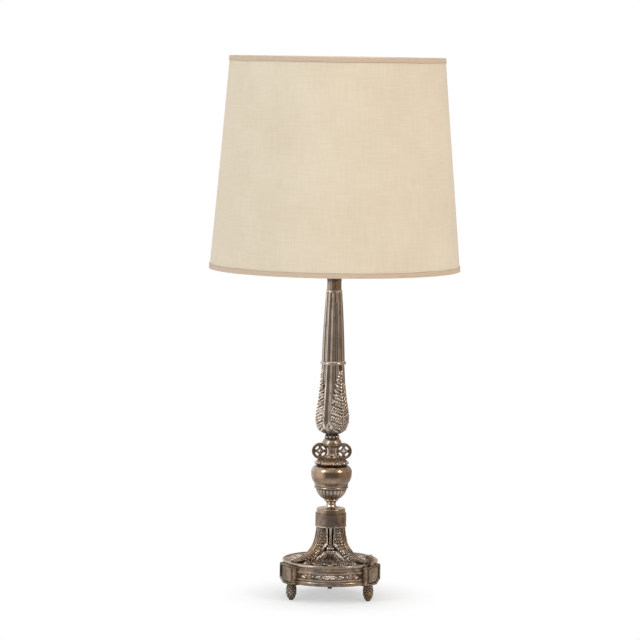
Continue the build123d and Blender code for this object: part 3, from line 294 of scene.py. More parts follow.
def weld(mesh):
    """Merge points that coincide, as at a pole, and turn all faces outwards."""
    shape = bmesh.new()
    shape.from_mesh(mesh)
    bmesh.ops.remove_doubles(shape, verts=shape.verts, dist=CLOSE / 20)
    bmesh.ops.recalc_face_normals(shape, faces=shape.faces)
    shape.to_mesh(mesh)
    shape.free()
    return mesh


def close_ends(mesh):
    """Fill a mesh's open ends, where it has any, and turn all faces outwards."""
    shape = bmesh.new()
    shape.from_mesh(mesh)
    bmesh.ops.holes_fill(shape, edges=[edge for edge in shape.edges if edge.is_boundary], sides=0)
    bmesh.ops.recalc_face_normals(shape, faces=shape.faces)
    shape.to_mesh(mesh)
    shape.free()
    return mesh


def with_ends(grid, first, last):
    """A grid with one more row of points before it and one after it."""
    ends = np.ones((len(grid), 1))
    return np.hstack([ends * first, grid, ends * last])


def wrapped(r, theta, z):
    """The points of a grid given by radius, angle and height, as one list."""
    return np.stack([r * np.cos(theta), r * np.sin(theta), z], 2).reshape(-1, 3)


def upright(flat, across, angle):
    """Points of sections at an angle: flat holds radius and height, across the way to the side."""
    outward = np.array([math.cos(angle), math.sin(angle), 0])
    sideways = np.array([-math.sin(angle), math.cos(angle), 0])
    points = flat[..., :1] * outward + across[None, :, None] * sideways
    return points + flat[..., 1:] * np.array([0, 0, 1.0])


def squared_circle(turn, power):
    """The two coordinates of a circle pushed out towards a square, more so for a low power."""
    cosine, sine = np.cos(turn), np.sin(turn)
    return np.sign(cosine) * np.abs(cosine) ** power, np.sign(sine) * np.abs(sine) ** power


def spun(name, path, columns, relief=None, bore=BORE, centre=(0, 0), base_patina=PLAIN):
    """Turn a path about an upright axis, lifted by its relief, and closed through a bore."""
    theta = np.arange(columns)[:, None] * (2 * math.pi / columns)
    radius, height = path[:, 0][None, :], path[:, 1][None, :]
    length, normal = path_length(path), path_normals(path)
    size = (columns, len(path))
    lift, patina = 0.0, base_patina
    if relief:
        lift, patina = relief(theta, length[None, :] / length[-1], radius, height)
    lift, patina = np.broadcast_to(lift, size), np.broadcast_to(patina, size)
    r = np.maximum(radius + lift * normal[:, 0], 0)
    z = height + lift * normal[:, 1]
    r = with_ends(r, bore, bore)
    z = with_ends(z, path[0, 1], path[-1, 1])
    patina = with_ends(patina, HIDDEN, HIDDEN)
    points = np.stack([centre[0] + r * np.cos(theta), centre[1] + r * np.sin(theta), z], 2)
    rows = r.shape[1]
    wrap = bore > 0
    quads = grid_quads(columns, rows, True, wrap)
    height_uv = np.concatenate([[0], length, [length[-1]]])
    uv = grid_uv(columns, rows, 2 * math.pi * float(path[:, 0].mean()), height_uv, wrap)
    mesh = make_mesh(name, points.reshape(-1, 3), quads, patina, uv)
    return mesh if wrap else weld(mesh)


def grid_normals(points, wrap_columns=False, wrap_rows=False):
    """Unit normals of a grid of points, from the steps between neighbours."""
    def steps(axis, wrap):
        if wrap:
            return np.roll(points, -1, axis) - np.roll(points, 1, axis)
        return np.gradient(points, axis=axis)
    normal = np.cross(steps(0, wrap_columns), steps(1, wrap_rows))
    return normal / np.maximum(np.linalg.norm(normal, axis=2, keepdims=True), 1e-12)


def joined(name, meshes):
    """One mesh of several separate shells."""
    shape = bmesh.new()
    for mesh in meshes:
        shape.from_mesh(mesh)
        bpy.data.meshes.remove(mesh)
    result = bpy.data.meshes.new(name)
    shape.to_mesh(result)
    shape.free()
    return result


def ball(name, centre, radius, columns=20, rows=14, patina=0.85):
    """A ball with the same patina all over."""
    theta = np.arange(columns)[:, None] * (2 * math.pi / columns)
    phi = np.linspace(-math.pi / 2, math.pi / 2, rows)[None, :]
    x = centre[0] + radius * np.cos(phi) * np.cos(theta)
    y = centre[1] + radius * np.cos(phi) * np.sin(theta)
    z = centre[2] + radius * np.sin(phi) * np.ones_like(theta)
    points = np.stack([x, y, z], 2).reshape(-1, 3)
    uv = grid_uv(columns, rows, 2 * math.pi * radius, np.linspace(0, math.pi * radius, rows))
    return weld(make_mesh(name, points, grid_quads(columns, rows), np.full(len(points), patina), uv))


def dress(name, mesh, body, slot, materials, *nodes):
    """Put a mesh in the scene. It rides on a body and stands for the CAD pieces named."""
    mesh.shade_smooth()
    mesh.set_sharp_from_angle(angle=SHARP)
    piece = bpy.data.objects.new(name, mesh)
    bpy.context.scene.collection.objects.link(piece)
    for material in materials:
        mesh.materials.append(material)
    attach(piece, body)
    if nodes:
        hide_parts(*nodes)
    return piece


def dress_silver(name, mesh, node, state="aged"):
    """Put a silver piece of the candlestick in the scene, for one CAD piece."""
    return dress(name, mesh, "root", "silver_plate", [silver(state)], node)


def silver_turning(name, node, columns, relief=None, step=1.2, ease=0.35, state="aged", **more):
    """A turned silver piece with its solid's outline. The step and the easing are millimetres."""
    path = divided(eased(outline(node, **more), ease * MM), step * MM)
    return dress_silver(name, spun(name, path, columns, relief), node, state)


# ---------------------------------------------------------------- ornament
def smooth(low, high, x):
    """Rise from 0 to 1 between two values, with soft ends."""
    t = np.clip((x - low) / (high - low), 0, 1)
    return t * t * (3 - 2 * t)


def ridge(distance, width):
    """A soft ridge of height 1 on a line."""
    return np.exp(-((distance / width) ** 2))


def turned_from(theta, angle, count):
    """Signed angle from the nearest of several evenly spaced directions."""
    pitch = 2 * math.pi / count
    return (theta - angle + pitch / 2) % pitch - pitch / 2


def acanthus(u, v, lobes=6.0, sweep=1.1, rib=0.075, veins=3):
    """An acanthus leaf: u runs from -1 to 1 across it, v from 0 at its root to 1 at its tip.

    Returns its height and how far a place lies inside its outline, both from 0 to 1.
    """
    side = np.abs(u)
    width = np.sqrt(np.clip(1 - np.clip(v, 0, 1) ** 3.2, 0, 1)) * (0.78 + 0.22 * smooth(0, 0.25, v))
    place = v * lobes - side * sweep
    within = place - np.floor(place)
    lobe = np.sqrt(np.clip(1 - (2 * within - 1) ** 2, 0, 1))
    edge = width * (0.74 + 0.26 * lobe)
    inside = smooth(0.02, -0.07, side - edge) * smooth(-0.01, 0.02, v) * smooth(1.01, 0.98, v)
    share = np.clip(side / np.maximum(width, 0.05), 0, 1)
    grooves = 0.5 + 0.5 * np.cos(2 * math.pi * veins * within)
    fan = smooth(0.04, 0.3, share)
    height = 0.12 + 0.62 * lobe * fan * (1 - 0.34 * grooves) + 0.5 * ridge(u, rib)
    height = height - 0.2 * ridge(side - 2.2 * rib, 0.8 * rib) + 0.12 * (1 - share)
    eyes = ridge(np.minimum(within, 1 - within), 0.1) * ridge(share - 0.4, 0.15)
    height = np.clip(height - 0.6 * eyes, 0, 1)
    return height * inside, inside


def sprays(u, v, rows, columns, lean=1.5):
    """Small curls in staggered rows across a leaf, from 0 between them to 1 on them."""
    along = np.cos(2 * math.pi * (v * rows + np.abs(u) * lean))
    return np.clip(0.5 + 0.9 * along * np.cos(math.pi * columns * u), 0, 1)


def flute_lift(theta, radius, settings):
    """The hollow of one flute, negative below its rounded crests, and the angle from its middle."""
    rounding = 0.4 * MM
    pitch = 2 * math.pi / settings.flutes
    offset = turned_from(theta, settings.flute_turn + pitch / 2, settings.flutes)
    x = np.clip(np.abs(offset) / (settings.flute_arc / 2), 0, 1)
    crest = np.clip((np.abs(offset) - settings.flute_arc / 2) / (pitch / 2 - settings.flute_arc / 2), 0, 1)
    return -settings.flute_depth * radius * np.sqrt(1 - x**2) - rounding * (1 - crest)**2, offset


def foot_relief(theta, along, radius, height):
    """Overlapping scales of a pine cone, on a lattice of two spirals."""
    ornament = bpy.context.scene.lamp_ornament
    row_height = 2.9 * MM
    neck_high, neck_low = height.max() - 2.5 * MM, height.max() - 4.5 * MM
    turns = theta / (2 * math.pi) * ornament.cone_scales
    climb = (height - height.min()) / row_height
    first, second = (turns + climb / 2) % 1, (turns - climb / 2) % 1
    dome = np.clip(np.sin(math.pi * first) * np.sin(math.pi * second), 0, 1) ** 0.7
    slant = 0.25 * ridge(first - second, 0.3)
    grip = smooth(neck_high, neck_low, height) * smooth(-0.01, 0.08, along)
    lift = -ornament.scale_depth * (1 - dome * (0.75 + slant)) * grip
    patina = 0.02 + 0.78 * dome**1.2 * grip + 0.3 * (1 - grip)
    return lift, patina


def dome_relief(theta, along, radius, height):
    """Leaves that radiate from the stem, with their tips curled up on the deck."""
    ornament = bpy.context.scene.lamp_ornament
    foot, top = radius.max(), radius.min()
    run = (radius - top) / (foot - top)
    pitch = 2 * math.pi / ornament.dome_leaves
    long_u = turned_from(theta, FRONT, ornament.dome_leaves) / (pitch / 2)
    short_u = turned_from(theta, FRONT + pitch / 2, ornament.dome_leaves) / (pitch / 2)
    tall, _ = acanthus(long_u * 0.92, run, lobes=4, sweep=3.4, rib=0.12, veins=1)
    low, _ = acanthus(short_u * 0.8, run / 0.8, lobes=3, sweep=2.8, rib=0.14, veins=1)
    relief = np.maximum(tall, 0.72 * low)
    tip_rise, seat_width = 1.1 * MM, 1.0 * MM
    tip = ridge(run - 0.88, 0.09) * ridge(long_u, 0.5) + 0.6 * ridge(run - 0.72, 0.06) * ridge(short_u, 0.4)
    lift = ornament.leaf_depth * (1.15 * relief - 1) + tip_rise * tip
    patina = np.clip(0.34 + 0.8 * relief + 0.6 * tip, 0, 1)
    seat = smooth(top, top + seat_width, radius)
    return lift * seat, patina


def bowl_relief(theta, along, radius, height):
    """Gadroons: rounded lobes that widen upwards and end under the band."""
    ornament = bpy.context.scene.lamp_ornament
    half = math.pi / ornament.gadroons
    x = turned_from(theta, 0, ornament.gadroons) / half
    top = along + 0.055 * x**2
    lobe = np.sqrt(np.clip(1 - (np.abs(x) / 1.04) ** 2, 0, 1)) ** 0.8
    live = smooth(0.0, 0.14, along) * smooth(0.965, 0.9, top)
    channel = smooth(0.9, 0.94, top) * smooth(0.995, 0.975, along)
    lift = -ornament.gadroon_depth * ((1 - lobe) * live + 0.45 * channel)
    patina = 0.06 + 0.72 * lobe**1.5 * live + 0.45 * (1 - smooth(0.0, 0.1, along))
    return lift, np.clip(patina, 0, 1)


def flange_relief(theta, along, radius, height):
    """Eight broad leaves whose tips scallop the rim."""
    leaves = 8
    u = turned_from(theta, math.pi / leaves, leaves) / (math.pi / leaves)
    low, high = height.min(), height.max()
    v = 1 - (height - low) / (high - low)
    leaf, _ = acanthus(u * 0.95, 0.12 + 0.86 * v, lobes=3, sweep=1.8, rib=0.13, veins=1)
    rim = smooth(0.16, 0.36, along) * smooth(0.98, 0.8, along)
    scallop = -1.5 * MM * smooth(0.55, 1.0, np.abs(u)) * smooth(0.0, 0.2, along) * smooth(0.5, 0.3, along)
    lift = scallop - 0.75 * MM * (1 - leaf) * rim
    tip = ridge(along - 0.3, 0.06) * smooth(0.9, 0.3, np.abs(u))
    return lift, np.clip(0.48 + 0.4 * leaf * rim + 0.35 * tip - 0.1 * (1 - rim), 0, 1)


def waist_relief(theta, along, radius, height):
    """Eight hollow flutes round the waist."""
    flutes = 8
    x = turned_from(theta, 0, flutes) / (math.pi / flutes)
    live = smooth(0.1, 0.28, along) * smooth(0.97, 0.86, along)
    hollow = 1 - x**2
    return -0.13 * radius * hollow * live, 0.95 - 0.5 * hollow * live


def baluster_relief(theta, along, radius, height):
    """Flutes that carry on from the shaft, gadroons below them, and three long acanthus leaves."""
    ornament = bpy.context.scene.lamp_ornament
    foot, top = height.min(), height.max()
    arch_rise, arch_fall = 13.5 * MM, 3.6 * MM
    hollow, offset = flute_lift(theta, radius, ornament)
    share = np.abs(offset) / (ornament.flute_arc / 2)
    arch = foot + arch_rise - arch_fall * np.clip(share, 0, 1.4) ** 2
    fluted = smooth(0, 1.6 * MM, height - arch)
    x = offset / (math.pi / ornament.flutes)
    gadroon = -1.7 * MM * (1 - np.sqrt(np.clip(1 - (np.abs(x) / 1.03) ** 2.4, 0, 1)))
    gadroon = gadroon * smooth(foot, foot + 3.0 * MM, height)
    calyx = ridge(height - arch, 0.8 * MM) * smooth(1.5, 1.1, share)
    calyx_u, calyx_v = np.clip(share, 0, 1) * np.sign(offset), (height - foot) / (arch - foot)
    calyx_leaf, _ = acanthus(calyx_u, calyx_v, lobes=4, sweep=1.2, rib=0.14)
    plain = fluted * hollow + (1 - fluted) * (gadroon - 0.55 * MM * (1 - calyx_leaf)) + 0.25 * MM * calyx
    plain_patina = fluted * (0.98 + 0.42 * hollow / (ornament.flute_depth * radius))
    plain_patina = plain_patina + (1 - fluted) * (0.3 + 0.35 * calyx_leaf) + 0.15 * calyx

    leaves, first_leaf = 3, math.radians(285)
    angle = turned_from(theta, ornament.flute_turn + first_leaf, leaves)
    root, tip = foot + 2.0 * MM, top - 9.0 * MM
    v = (height - root) / (tip - root)
    half = math.radians(24) + math.radians(25) * np.sqrt(np.clip(1 - ((v - 0.27) / 0.75) ** 2, 0, 1))
    leaf, cover = acanthus(angle / half, v, lobes=11, sweep=1.7, rib=0.045, veins=1)
    curls = sprays(angle / half, v, 19, 7, 2.0)
    leaf = np.clip(0.42 * leaf + (0.1 + 0.5 * curls + 0.3 * ridge(angle / half, 0.045)) * cover, 0, 1)
    leaf_lift = MM * (2.3 * leaf - 1.5)
    curl = ridge(height - tip + 1.2 * MM, 2.0 * MM) * ridge(angle, math.radians(10))
    throat = smooth(tip - 0.5 * MM, tip + 1.5 * MM, height) * smooth(0.26, 0.21, np.abs(angle))
    lift = plain + (leaf_lift - plain) * cover + 2.0 * MM * curl
    patina = plain_patina + (1.35 * leaf - 0.22 - plain_patina) * cover
    patina = np.clip(patina + 0.6 * curl - 0.3 * throat, 0, 1)
    ends = smooth(top, top - 0.6 * MM, height) * smooth(foot, foot + 0.6 * MM, height)
    return lift * ends, patina


def shaft_relief(theta, along, radius, height):
    """Hollow flutes that end round just below the neck."""
    ornament = bpy.context.scene.lamp_ornament
    hollow, offset = flute_lift(theta, radius, ornament)
    share = np.clip(np.abs(offset) / (ornament.flute_arc / 2), 0, 1)
    plain_top, round_end = 1.0 * MM, 2.2 * MM
    end = height.max() - plain_top - round_end * share**2
    live = smooth(0.0, 1.3 * MM, end - height)
    return hollow * live, np.clip(1.0 + 0.38 * hollow * live / (ornament.flute_depth * radius), 0, 1)


def capital_relief(theta, along, radius, height):
    """Short leaves that stand round the plain neck."""
    ornament = bpy.context.scene.lamp_ornament
    half = math.pi / ornament.flutes
    u = turned_from(theta, ornament.flute_turn + half, ornament.flutes) / half
    leaf_height = 12 * MM
    v = (height - height.min()) / leaf_height
    leaf, cover = acanthus(u * 0.95, np.clip(v, 0, 1.2), lobes=3, sweep=1.0, rib=0.14)
    return -0.55 * MM * (1 - leaf) * smooth(1.12, 0.9, v) * smooth(0, 0.05, v), 0.45 + 0.45 * leaf * cover


def frieze(arc, height):
    """The frieze on a wall panel, mirrored about its middle: spearheads, rings and sprigs.

    Arc and height are metres from the panel's middle. The strokes are in millimetres.
    """
    side, up = np.abs(arc) / MM, height / MM

    def stroke(x0, y0, x1, y1, width=0.62):
        run = np.array([x1 - x0, y1 - y0])
        share = np.clip(((side - x0) * run[0] + (up - y0) * run[1]) / (run @ run), 0, 1)
        return ridge(np.hypot(side - x0 - share * run[0], up - y0 - share * run[1]), width)
    shapes = np.zeros(np.broadcast_shapes(side.shape, up.shape))
    for tip, back, half in ((20.0, 12.8, 2.7), (43.0, 37.4, 2.6)):
        for lean in (-1, 1):
            shapes = np.maximum(shapes, stroke(tip, 0, back, lean * half))
            shapes = np.maximum(shapes, 0.7 * stroke(tip - 2.6, 0, back + 0.4, lean * 0.9, 0.5))
    for middle, radius in ((30.6, 2.2), (8.9, 1.5)):
        away = np.hypot(side - middle, up)
        shapes = np.maximum(shapes, ridge(away - radius, 0.6))
        shapes = np.maximum(shapes, 0.9 * ridge(away, 0.75))
    for lean in (-1, 1):
        shapes = np.maximum(shapes, stroke(0.6, lean * 0.4, 3.4, lean * 2.7, 0.75))
        shapes = np.maximum(shapes, stroke(3.6, lean * 0.3, 6.4, lean * 2.6, 0.7))
        shapes = np.maximum(shapes, 0.8 * stroke(23.4, lean * 0.7, 26.2, lean * 0.5, 0.5))
        shapes = np.maximum(shapes, 0.8 * stroke(34.6, lean * 0.8, 36.8, lean * 1.6, 0.5))
    return np.maximum(shapes, 0.8 * ridge(side, 0.5) * smooth(3.2, 2.4, np.abs(up)))


# ---------------------------------------------------------------- finishes
def shared(maker):
    """Make a node group the first time it is asked for, and keep it. It is named after its maker."""
    name = maker.__name__.replace("_", " ").title()

    def ask():
        return bpy.data.node_groups.get(name) or maker(name)
    return ask


def new_group(name, inputs, outputs):
    """An empty shader group with its sockets: (name, kind, default)."""
    group = bpy.data.node_groups.new(name, "ShaderNodeTree")
    for label, kind, default in inputs:
        socket = group.interface.new_socket(name=label, in_out="INPUT", socket_type=kind)
        if default is not None:
            socket.default_value = default
    for label, kind in outputs:
        group.interface.new_socket(name=label, in_out="OUTPUT", socket_type=kind)
    return group, group.nodes.new("NodeGroupInput"), group.nodes.new("NodeGroupOutput")


class Bench:
    """Short calls for adding and linking shader nodes in one tree."""

    def __init__(self, tree):
        self.tree = tree

    def node(self, kind, **settings):
        made = self.tree.nodes.new("ShaderNode" + kind)
        for key, value in settings.items():
            setattr(made, key, value)
        return made

    def link(self, source, target):
        self.tree.links.new(source, target)

    def put(self, socket, value):
        if isinstance(value, bpy.types.NodeSocket):
            self.link(value, socket)
        else:
            socket.default_value = value

    def math(self, operation, first, second=0.0, clamp=False):
        made = self.node("Math", operation=operation, use_clamp=clamp)
        self.put(made.inputs[0], first)
        self.put(made.inputs[1], second)
        return made.outputs[0]

    def ramp(self, value, low, high, to_low=0.0, to_high=1.0):
        made = self.node("MapRange", interpolation_type="SMOOTHSTEP")
        for index, item in enumerate((value, low, high, to_low, to_high)):
            self.put(made.inputs[index], item)
        return made.outputs[0]

    def mix(self, share, first, second, blend="MIX"):
        made = self.node("Mix", data_type="RGBA", blend_type=blend, clamp_factor=True)
        self.put(made.inputs[0], share)
        for socket, value in ((made.inputs[6], first), (made.inputs[7], second)):
            self.put(socket, value if isinstance(value, bpy.types.NodeSocket) else (*value[:3], 1))
        return made.outputs[2]

    def noise(self, place, scale, detail=3.0, rough=0.55):
        made = self.node("TexNoise")
        self.put(made.inputs["Vector"], place)
        self.put(made.inputs["Scale"], scale)
        made.inputs["Detail"].default_value = detail
        made.inputs["Roughness"].default_value = rough
        return made.outputs["Fac"]

    def group(self, tree, **values):
        made = self.node("Group", node_tree=tree)
        for key, value in values.items():
            self.put(made.inputs[key.replace("_", " ")], value)
        return made.outputs


@shared
def tarnish(name):
    """Where silver is black, worn or warm: from its relief, its crevices and slow blotches. The relief gives
    oxide in hollows; the crevices, found by occlusion, give painted shade in recesses and between parts.
    """
    group, given, out = new_group(
        name,
        [
            ("Crevice Reach", "NodeSocketFloat", 0.004),
            ("Relief Share", "NodeSocketFloat", 1.0),
            ("Blotch Scale", "NodeSocketFloat", 60.0),
        ],
        [
            ("Tarnish", "NodeSocketFloat"), ("Warmth", "NodeSocketFloat"),
            ("Grain", "NodeSocketFloat"), ("Wear", "NodeSocketFloat"),
        ],
    )
    bench = Bench(group)
    place = bench.node("TexCoord").outputs["Object"]
    relief = bench.node("Attribute", attribute_name="patina").outputs["Fac"]
    # Occlusion darkens crevices, recesses and gaps between parts: partly tarnish, partly painted shade.
    crevice = bench.node("AmbientOcclusion", samples=6)
    bench.link(given.outputs["Crevice Reach"], crevice.inputs["Distance"])
    closed = bench.ramp(crevice.outputs["AO"], 0.25, 0.95, 1.0, 0.0)
    blotch = bench.noise(place, given.outputs["Blotch Scale"], 4.0, 0.6)
    speck = bench.noise(place, 900.0, 3.0, 0.7)
    sunk = bench.ramp(relief, 0.1, 0.84, 1.0, 0.0)
    sunk = bench.math("MULTIPLY", sunk, given.outputs["Relief Share"])
    # Oxide from the relief, or painted shade from occlusion, whichever is darker.
    both = bench.math("MAXIMUM", sunk, bench.math("MULTIPLY", closed, 0.78))
    uneven = bench.math("ADD", both, bench.ramp(blotch, 0.3, 0.75, -0.16, 0.4))
    uneven = bench.math("ADD", uneven, bench.ramp(speck, 0.5, 0.8, 0.0, 0.12), clamp=True)
    bench.link(uneven, out.inputs["Tarnish"])
    bench.link(bench.ramp(bench.noise(place, 28.0, 2.0), 0.42, 0.66), out.inputs["Warmth"])
    bench.link(speck, out.inputs["Grain"])
    rubbed = bench.ramp(relief, 0.74, 0.98)
    rubbed = bench.math("MULTIPLY", rubbed, bench.ramp(blotch, 0.3, 0.6, 0.35, 1.0))
    bench.link(rubbed, out.inputs["Wear"])
    return group


@shared
def room_tone(name):
    """The studio's tone in a direction, as polished metal mirrors it: dark in front, light at the left."""
    group, given, out = new_group(
        name, [("Direction", "NodeSocketVector", None)], [("Color", "NodeSocketColor")]
    )
    bench = Bench(group)
    level = bench.node("VectorMath", operation="NORMALIZE")
    bench.link(given.outputs["Direction"], level.inputs[0])
    split = bench.node("SeparateXYZ")
    bench.link(level.outputs[0], split.inputs[0])
    at_left, at_right, in_front = (1.15, 1.10, 1.08), (0.58, 0.47, 0.385), (0.21, 0.17, 0.14)
    sides = bench.mix(bench.ramp(split.outputs["X"], -0.55, 0.6), at_left, at_right)
    front = bench.ramp(split.outputs["Y"], -0.5, -0.9)
    low = bench.ramp(split.outputs["Z"], 0.2, 0.6, 1.0, 0.0)
    dark = bench.math("MULTIPLY", front, low)
    bench.link(bench.mix(dark, sides, in_front), out.inputs["Color"])
    return group


@shared
def handling_marks(name):
    """Fine handling marks: a faint height and a change in gloss."""
    group, given, out = new_group(
        name, [("Mark Scale", "NodeSocketFloat", 220.0)],
        [("Height", "NodeSocketFloat"), ("Dulling", "NodeSocketFloat")],
    )
    bench = Bench(group)
    place = bench.node("TexCoord").outputs["Object"]
    stretch = bench.node("Mapping")
    bench.link(place, stretch.inputs["Vector"])
    stretch.inputs["Scale"].default_value = (1.0, 1.0, 7.0)
    marks = bench.noise(stretch.outputs["Vector"], given.outputs["Mark Scale"], 5.0, 0.7)
    dents = bench.noise(place, 95.0, 1.0)
    bench.link(bench.math("ADD", bench.math("MULTIPLY", marks, 0.35), dents), out.inputs["Height"])
    bench.link(bench.ramp(marks, 0.4, 0.7), out.inputs["Dulling"])
    return group


@shared
def plain_weave(name):
    """Plain weave on surface coordinates in metres: a height, and a slow unevenness of the yarn."""
    group, given, out = new_group(
        name,
        [("Thread", "NodeSocketFloat", 0.0006), ("Slub", "NodeSocketFloat", 30.0)],
        [("Height", "NodeSocketFloat"), ("Yarn", "NodeSocketFloat"), ("Cloud", "NodeSocketFloat")],
    )
    bench = Bench(group)
    place = bench.node("UVMap", uv_map="Surface").outputs["UV"]
    split = bench.node("SeparateXYZ")
    bench.link(place, split.inputs[0])
    threads = []
    for axis in (0, 1):
        count = bench.math("DIVIDE", split.outputs[axis], given.outputs["Thread"])
        threads.append(bench.math("SINE", bench.math("MULTIPLY", count, math.pi)))
    cross = bench.math("MULTIPLY", threads[0], threads[1])
    stretch = bench.node("Mapping")
    bench.link(place, stretch.inputs["Vector"])
    stretch.inputs["Scale"].default_value = (18.0, 1.0, 1.0)
    up = bench.noise(stretch.outputs["Vector"], given.outputs["Slub"], 4.0, 0.65)
    level = bench.node("Mapping")
    bench.link(place, level.inputs["Vector"])
    level.inputs["Scale"].default_value = (1.0, 18.0, 1.0)
    flat = bench.noise(level.outputs["Vector"], given.outputs["Slub"], 4.0, 0.65)
    both = bench.math("ADD", up, flat)
    bench.link(bench.math("ADD", bench.math("MULTIPLY", cross, 0.5), both), out.inputs["Height"])
    bench.link(bench.math("MULTIPLY", both, 0.5), out.inputs["Yarn"])
    bench.link(bench.noise(place, 9.0, 3.0, 0.6), out.inputs["Cloud"])
    return group


def new_material(name):
    """An empty material with its bench, its Principled shader and its output."""
    material = bpy.data.materials.new(name)
    material.use_nodes = True
    material.node_tree.nodes.clear()
    bench = Bench(material.node_tree)
    shader = bench.node("BsdfPrincipled")
    output = bench.node("OutputMaterial")
    bench.link(shader.outputs[0], output.inputs["Surface"])
    return material, bench, shader


def bump(bench, shader, height, depth):
    """Send a height to the shader's normal, as a bump of a real depth in metres."""
    made = bench.node("Bump")
    made.inputs["Strength"].default_value = 1.0
    made.inputs["Distance"].default_value = depth
    bench.link(height, made.inputs["Height"])
    bench.link(made.outputs[0], shader.inputs["Normal"])


def once(maker):
    """Make a material the first time it is asked for, and keep it."""
    def ask(*choices):
        name = " ".join([maker.__name__.replace("_", " "), *map(str, choices)]).strip().capitalize()
        return bpy.data.materials.get(name) or maker(name, *choices)
    return ask


@once
def silver(name, state):
    """Silver plate, bright on crests and black in hollows, with painted shade in its crevices. Its state is
    aged, or the cleaner rubbed.
    """
    finish = bpy.context.scene.lamp_finish
    rubbed = state == "rubbed"
    material, bench, shader = new_material(name)
    # How far the painted crevice shade reaches: less on rubbed silver.
    crevice_reach = 0.0008 if rubbed else 0.005
    marks = bench.group(tarnish(), Crevice_Reach=crevice_reach, Relief_Share=1.0, Blotch_Scale=70.0)
    wear = bench.group(handling_marks(), Mark_Scale=240.0)
    plate = bench.mix(marks["Warmth"], finish.silver, finish.warm_silver)
    wear_share = bench.ramp(marks["Wear"], 0.0, 1.0, 0.68 if rubbed else 0.0, 1.0 if rubbed else 0.85)
    plate = bench.mix(wear_share, plate, finish.worn)
    # Oxide and painted crevice shade both darken the plate towards the tarnish colour.
    colour = bench.mix(bench.math("MULTIPLY", marks["Tarnish"], 0.94), plate, finish.tarnish)
    bench.link(colour, shader.inputs["Base Color"])
    shader.inputs["Metallic"].default_value = 1.0
    rough = bench.ramp(marks["Tarnish"], 0.0, 1.0, 0.11 if rubbed else 0.17, 0.44)
    rough = bench.math("ADD", rough, bench.math("MULTIPLY", wear["Dulling"], 0.07))
    bench.link(rough, shader.inputs["Roughness"])
    surface = bench.math("ADD", wear["Height"], bench.math("MULTIPLY", marks["Grain"], 0.25))
    bump(bench, shader, surface, 0.00004)
    return material


@once
def plain_metal(name, tone, gloss, blotch):
    """A machined or cast metal with small marks. Tone names its colour, gloss is its roughness and
    blotch the scale of its stains.
    """
    material, bench, shader = new_material(name)
    colours = {
        "steel": (0.50, 0.50, 0.51), "iron": (0.11, 0.10, 0.10), "brass": (0.62, 0.43, 0.19),
        "contact": (0.72, 0.50, 0.25), "aluminium": (0.72, 0.72, 0.73),
    }
    base = colours[tone]
    wear = bench.group(handling_marks(), Mark_Scale=300.0)
    place = bench.node("TexCoord").outputs["Object"]
    stain = bench.ramp(bench.noise(place, blotch, 3.0), 0.35, 0.75)
    bench.link(bench.mix(stain, base, [0.68 * part for part in base]), shader.inputs["Base Color"])
    shader.inputs["Metallic"].default_value = 1.0
    rough = bench.math("ADD", bench.math("MULTIPLY", wear["Dulling"], 0.15), gloss)
    bench.link(rough, shader.inputs["Roughness"])
    bump(bench, shader, wear["Height"], 0.0001)
    return material


@once
def plain_solid(name, tone, gloss, grain):
    """Rubber, plastic, paint or ceramic: a colour with a faint mottle and a fine grain."""
    material, bench, shader = new_material(name)
    colours = {
        "rubber": (0.022, 0.021, 0.02), "sheath": (0.78, 0.76, 0.70), "ivory": (0.62, 0.55, 0.42),
        "bakelite": (0.035, 0.02, 0.014), "porcelain": (0.82, 0.80, 0.75), "paint": (0.78, 0.74, 0.66),
        "phosphor": (0.80, 0.52, 0.10),
    }
    base = colours[tone]
    place = bench.node("TexCoord").outputs["Object"]
    mottle = bench.ramp(bench.noise(place, 140.0, 3.0), 0.35, 0.7)
    bench.link(bench.mix(mottle, base, [0.86 * part for part in base]), shader.inputs["Base Color"])
    fine = bench.noise(place, grain, 2.0, 0.6)
    bench.link(bench.ramp(fine, 0.3, 0.7, gloss - 0.04, gloss + 0.08), shader.inputs["Roughness"])
    bump(bench, shader, fine, 0.00006)
    return material


@once
def bulb_glass(name):
    """Clear glass with faint waves."""
    material, bench, shader = new_material(name)
    place = bench.node("TexCoord").outputs["Object"]
    haze = bench.ramp(bench.noise(place, 45.0, 2.0), 0.3, 0.8)
    bench.link(bench.mix(haze, (0.97, 0.97, 0.95), (0.90, 0.89, 0.85)), shader.inputs["Base Color"])
    shader.inputs["Transmission Weight"].default_value = 1.0
    shader.inputs["IOR"].default_value = 1.45
    bench.link(bench.ramp(haze, 0.0, 1.0, 0.02, 0.07), shader.inputs["Roughness"])
    bump(bench, shader, haze, 0.0001)
    return material


@once
def shade_fabric(name):
    """Cream fabric laminated on a clear backing, with uneven yarn and slow clouds of tone."""
    finish = bpy.context.scene.lamp_finish
    material, bench, shader = new_material(name)
    weave = bench.group(plain_weave(), Thread=0.00055, Slub=26.0)
    base = list(finish.fabric)
    pale = [part * 1.02 for part in base]
    deep = [base[0] * 0.975, base[1] * 0.962, base[2] * 0.94]
    tone = bench.mix(bench.ramp(weave["Cloud"], 0.32, 0.68), pale, deep)
    yarn = bench.mix(bench.ramp(weave["Yarn"], 0.4, 0.6), (1.0, 1.0, 1.0), (0.955, 0.945, 0.925))
    bench.link(bench.mix(1.0, tone, yarn, "MULTIPLY"), shader.inputs["Base Color"])
    bench.link(bench.ramp(weave["Yarn"], 0.35, 0.65, 0.72, 0.86), shader.inputs["Roughness"])
    shader.inputs["Sheen Weight"].default_value = 0.12
    shader.inputs["Sheen Roughness"].default_value = 0.6
    bump(bench, shader, weave["Height"], 0.00005)
    return material


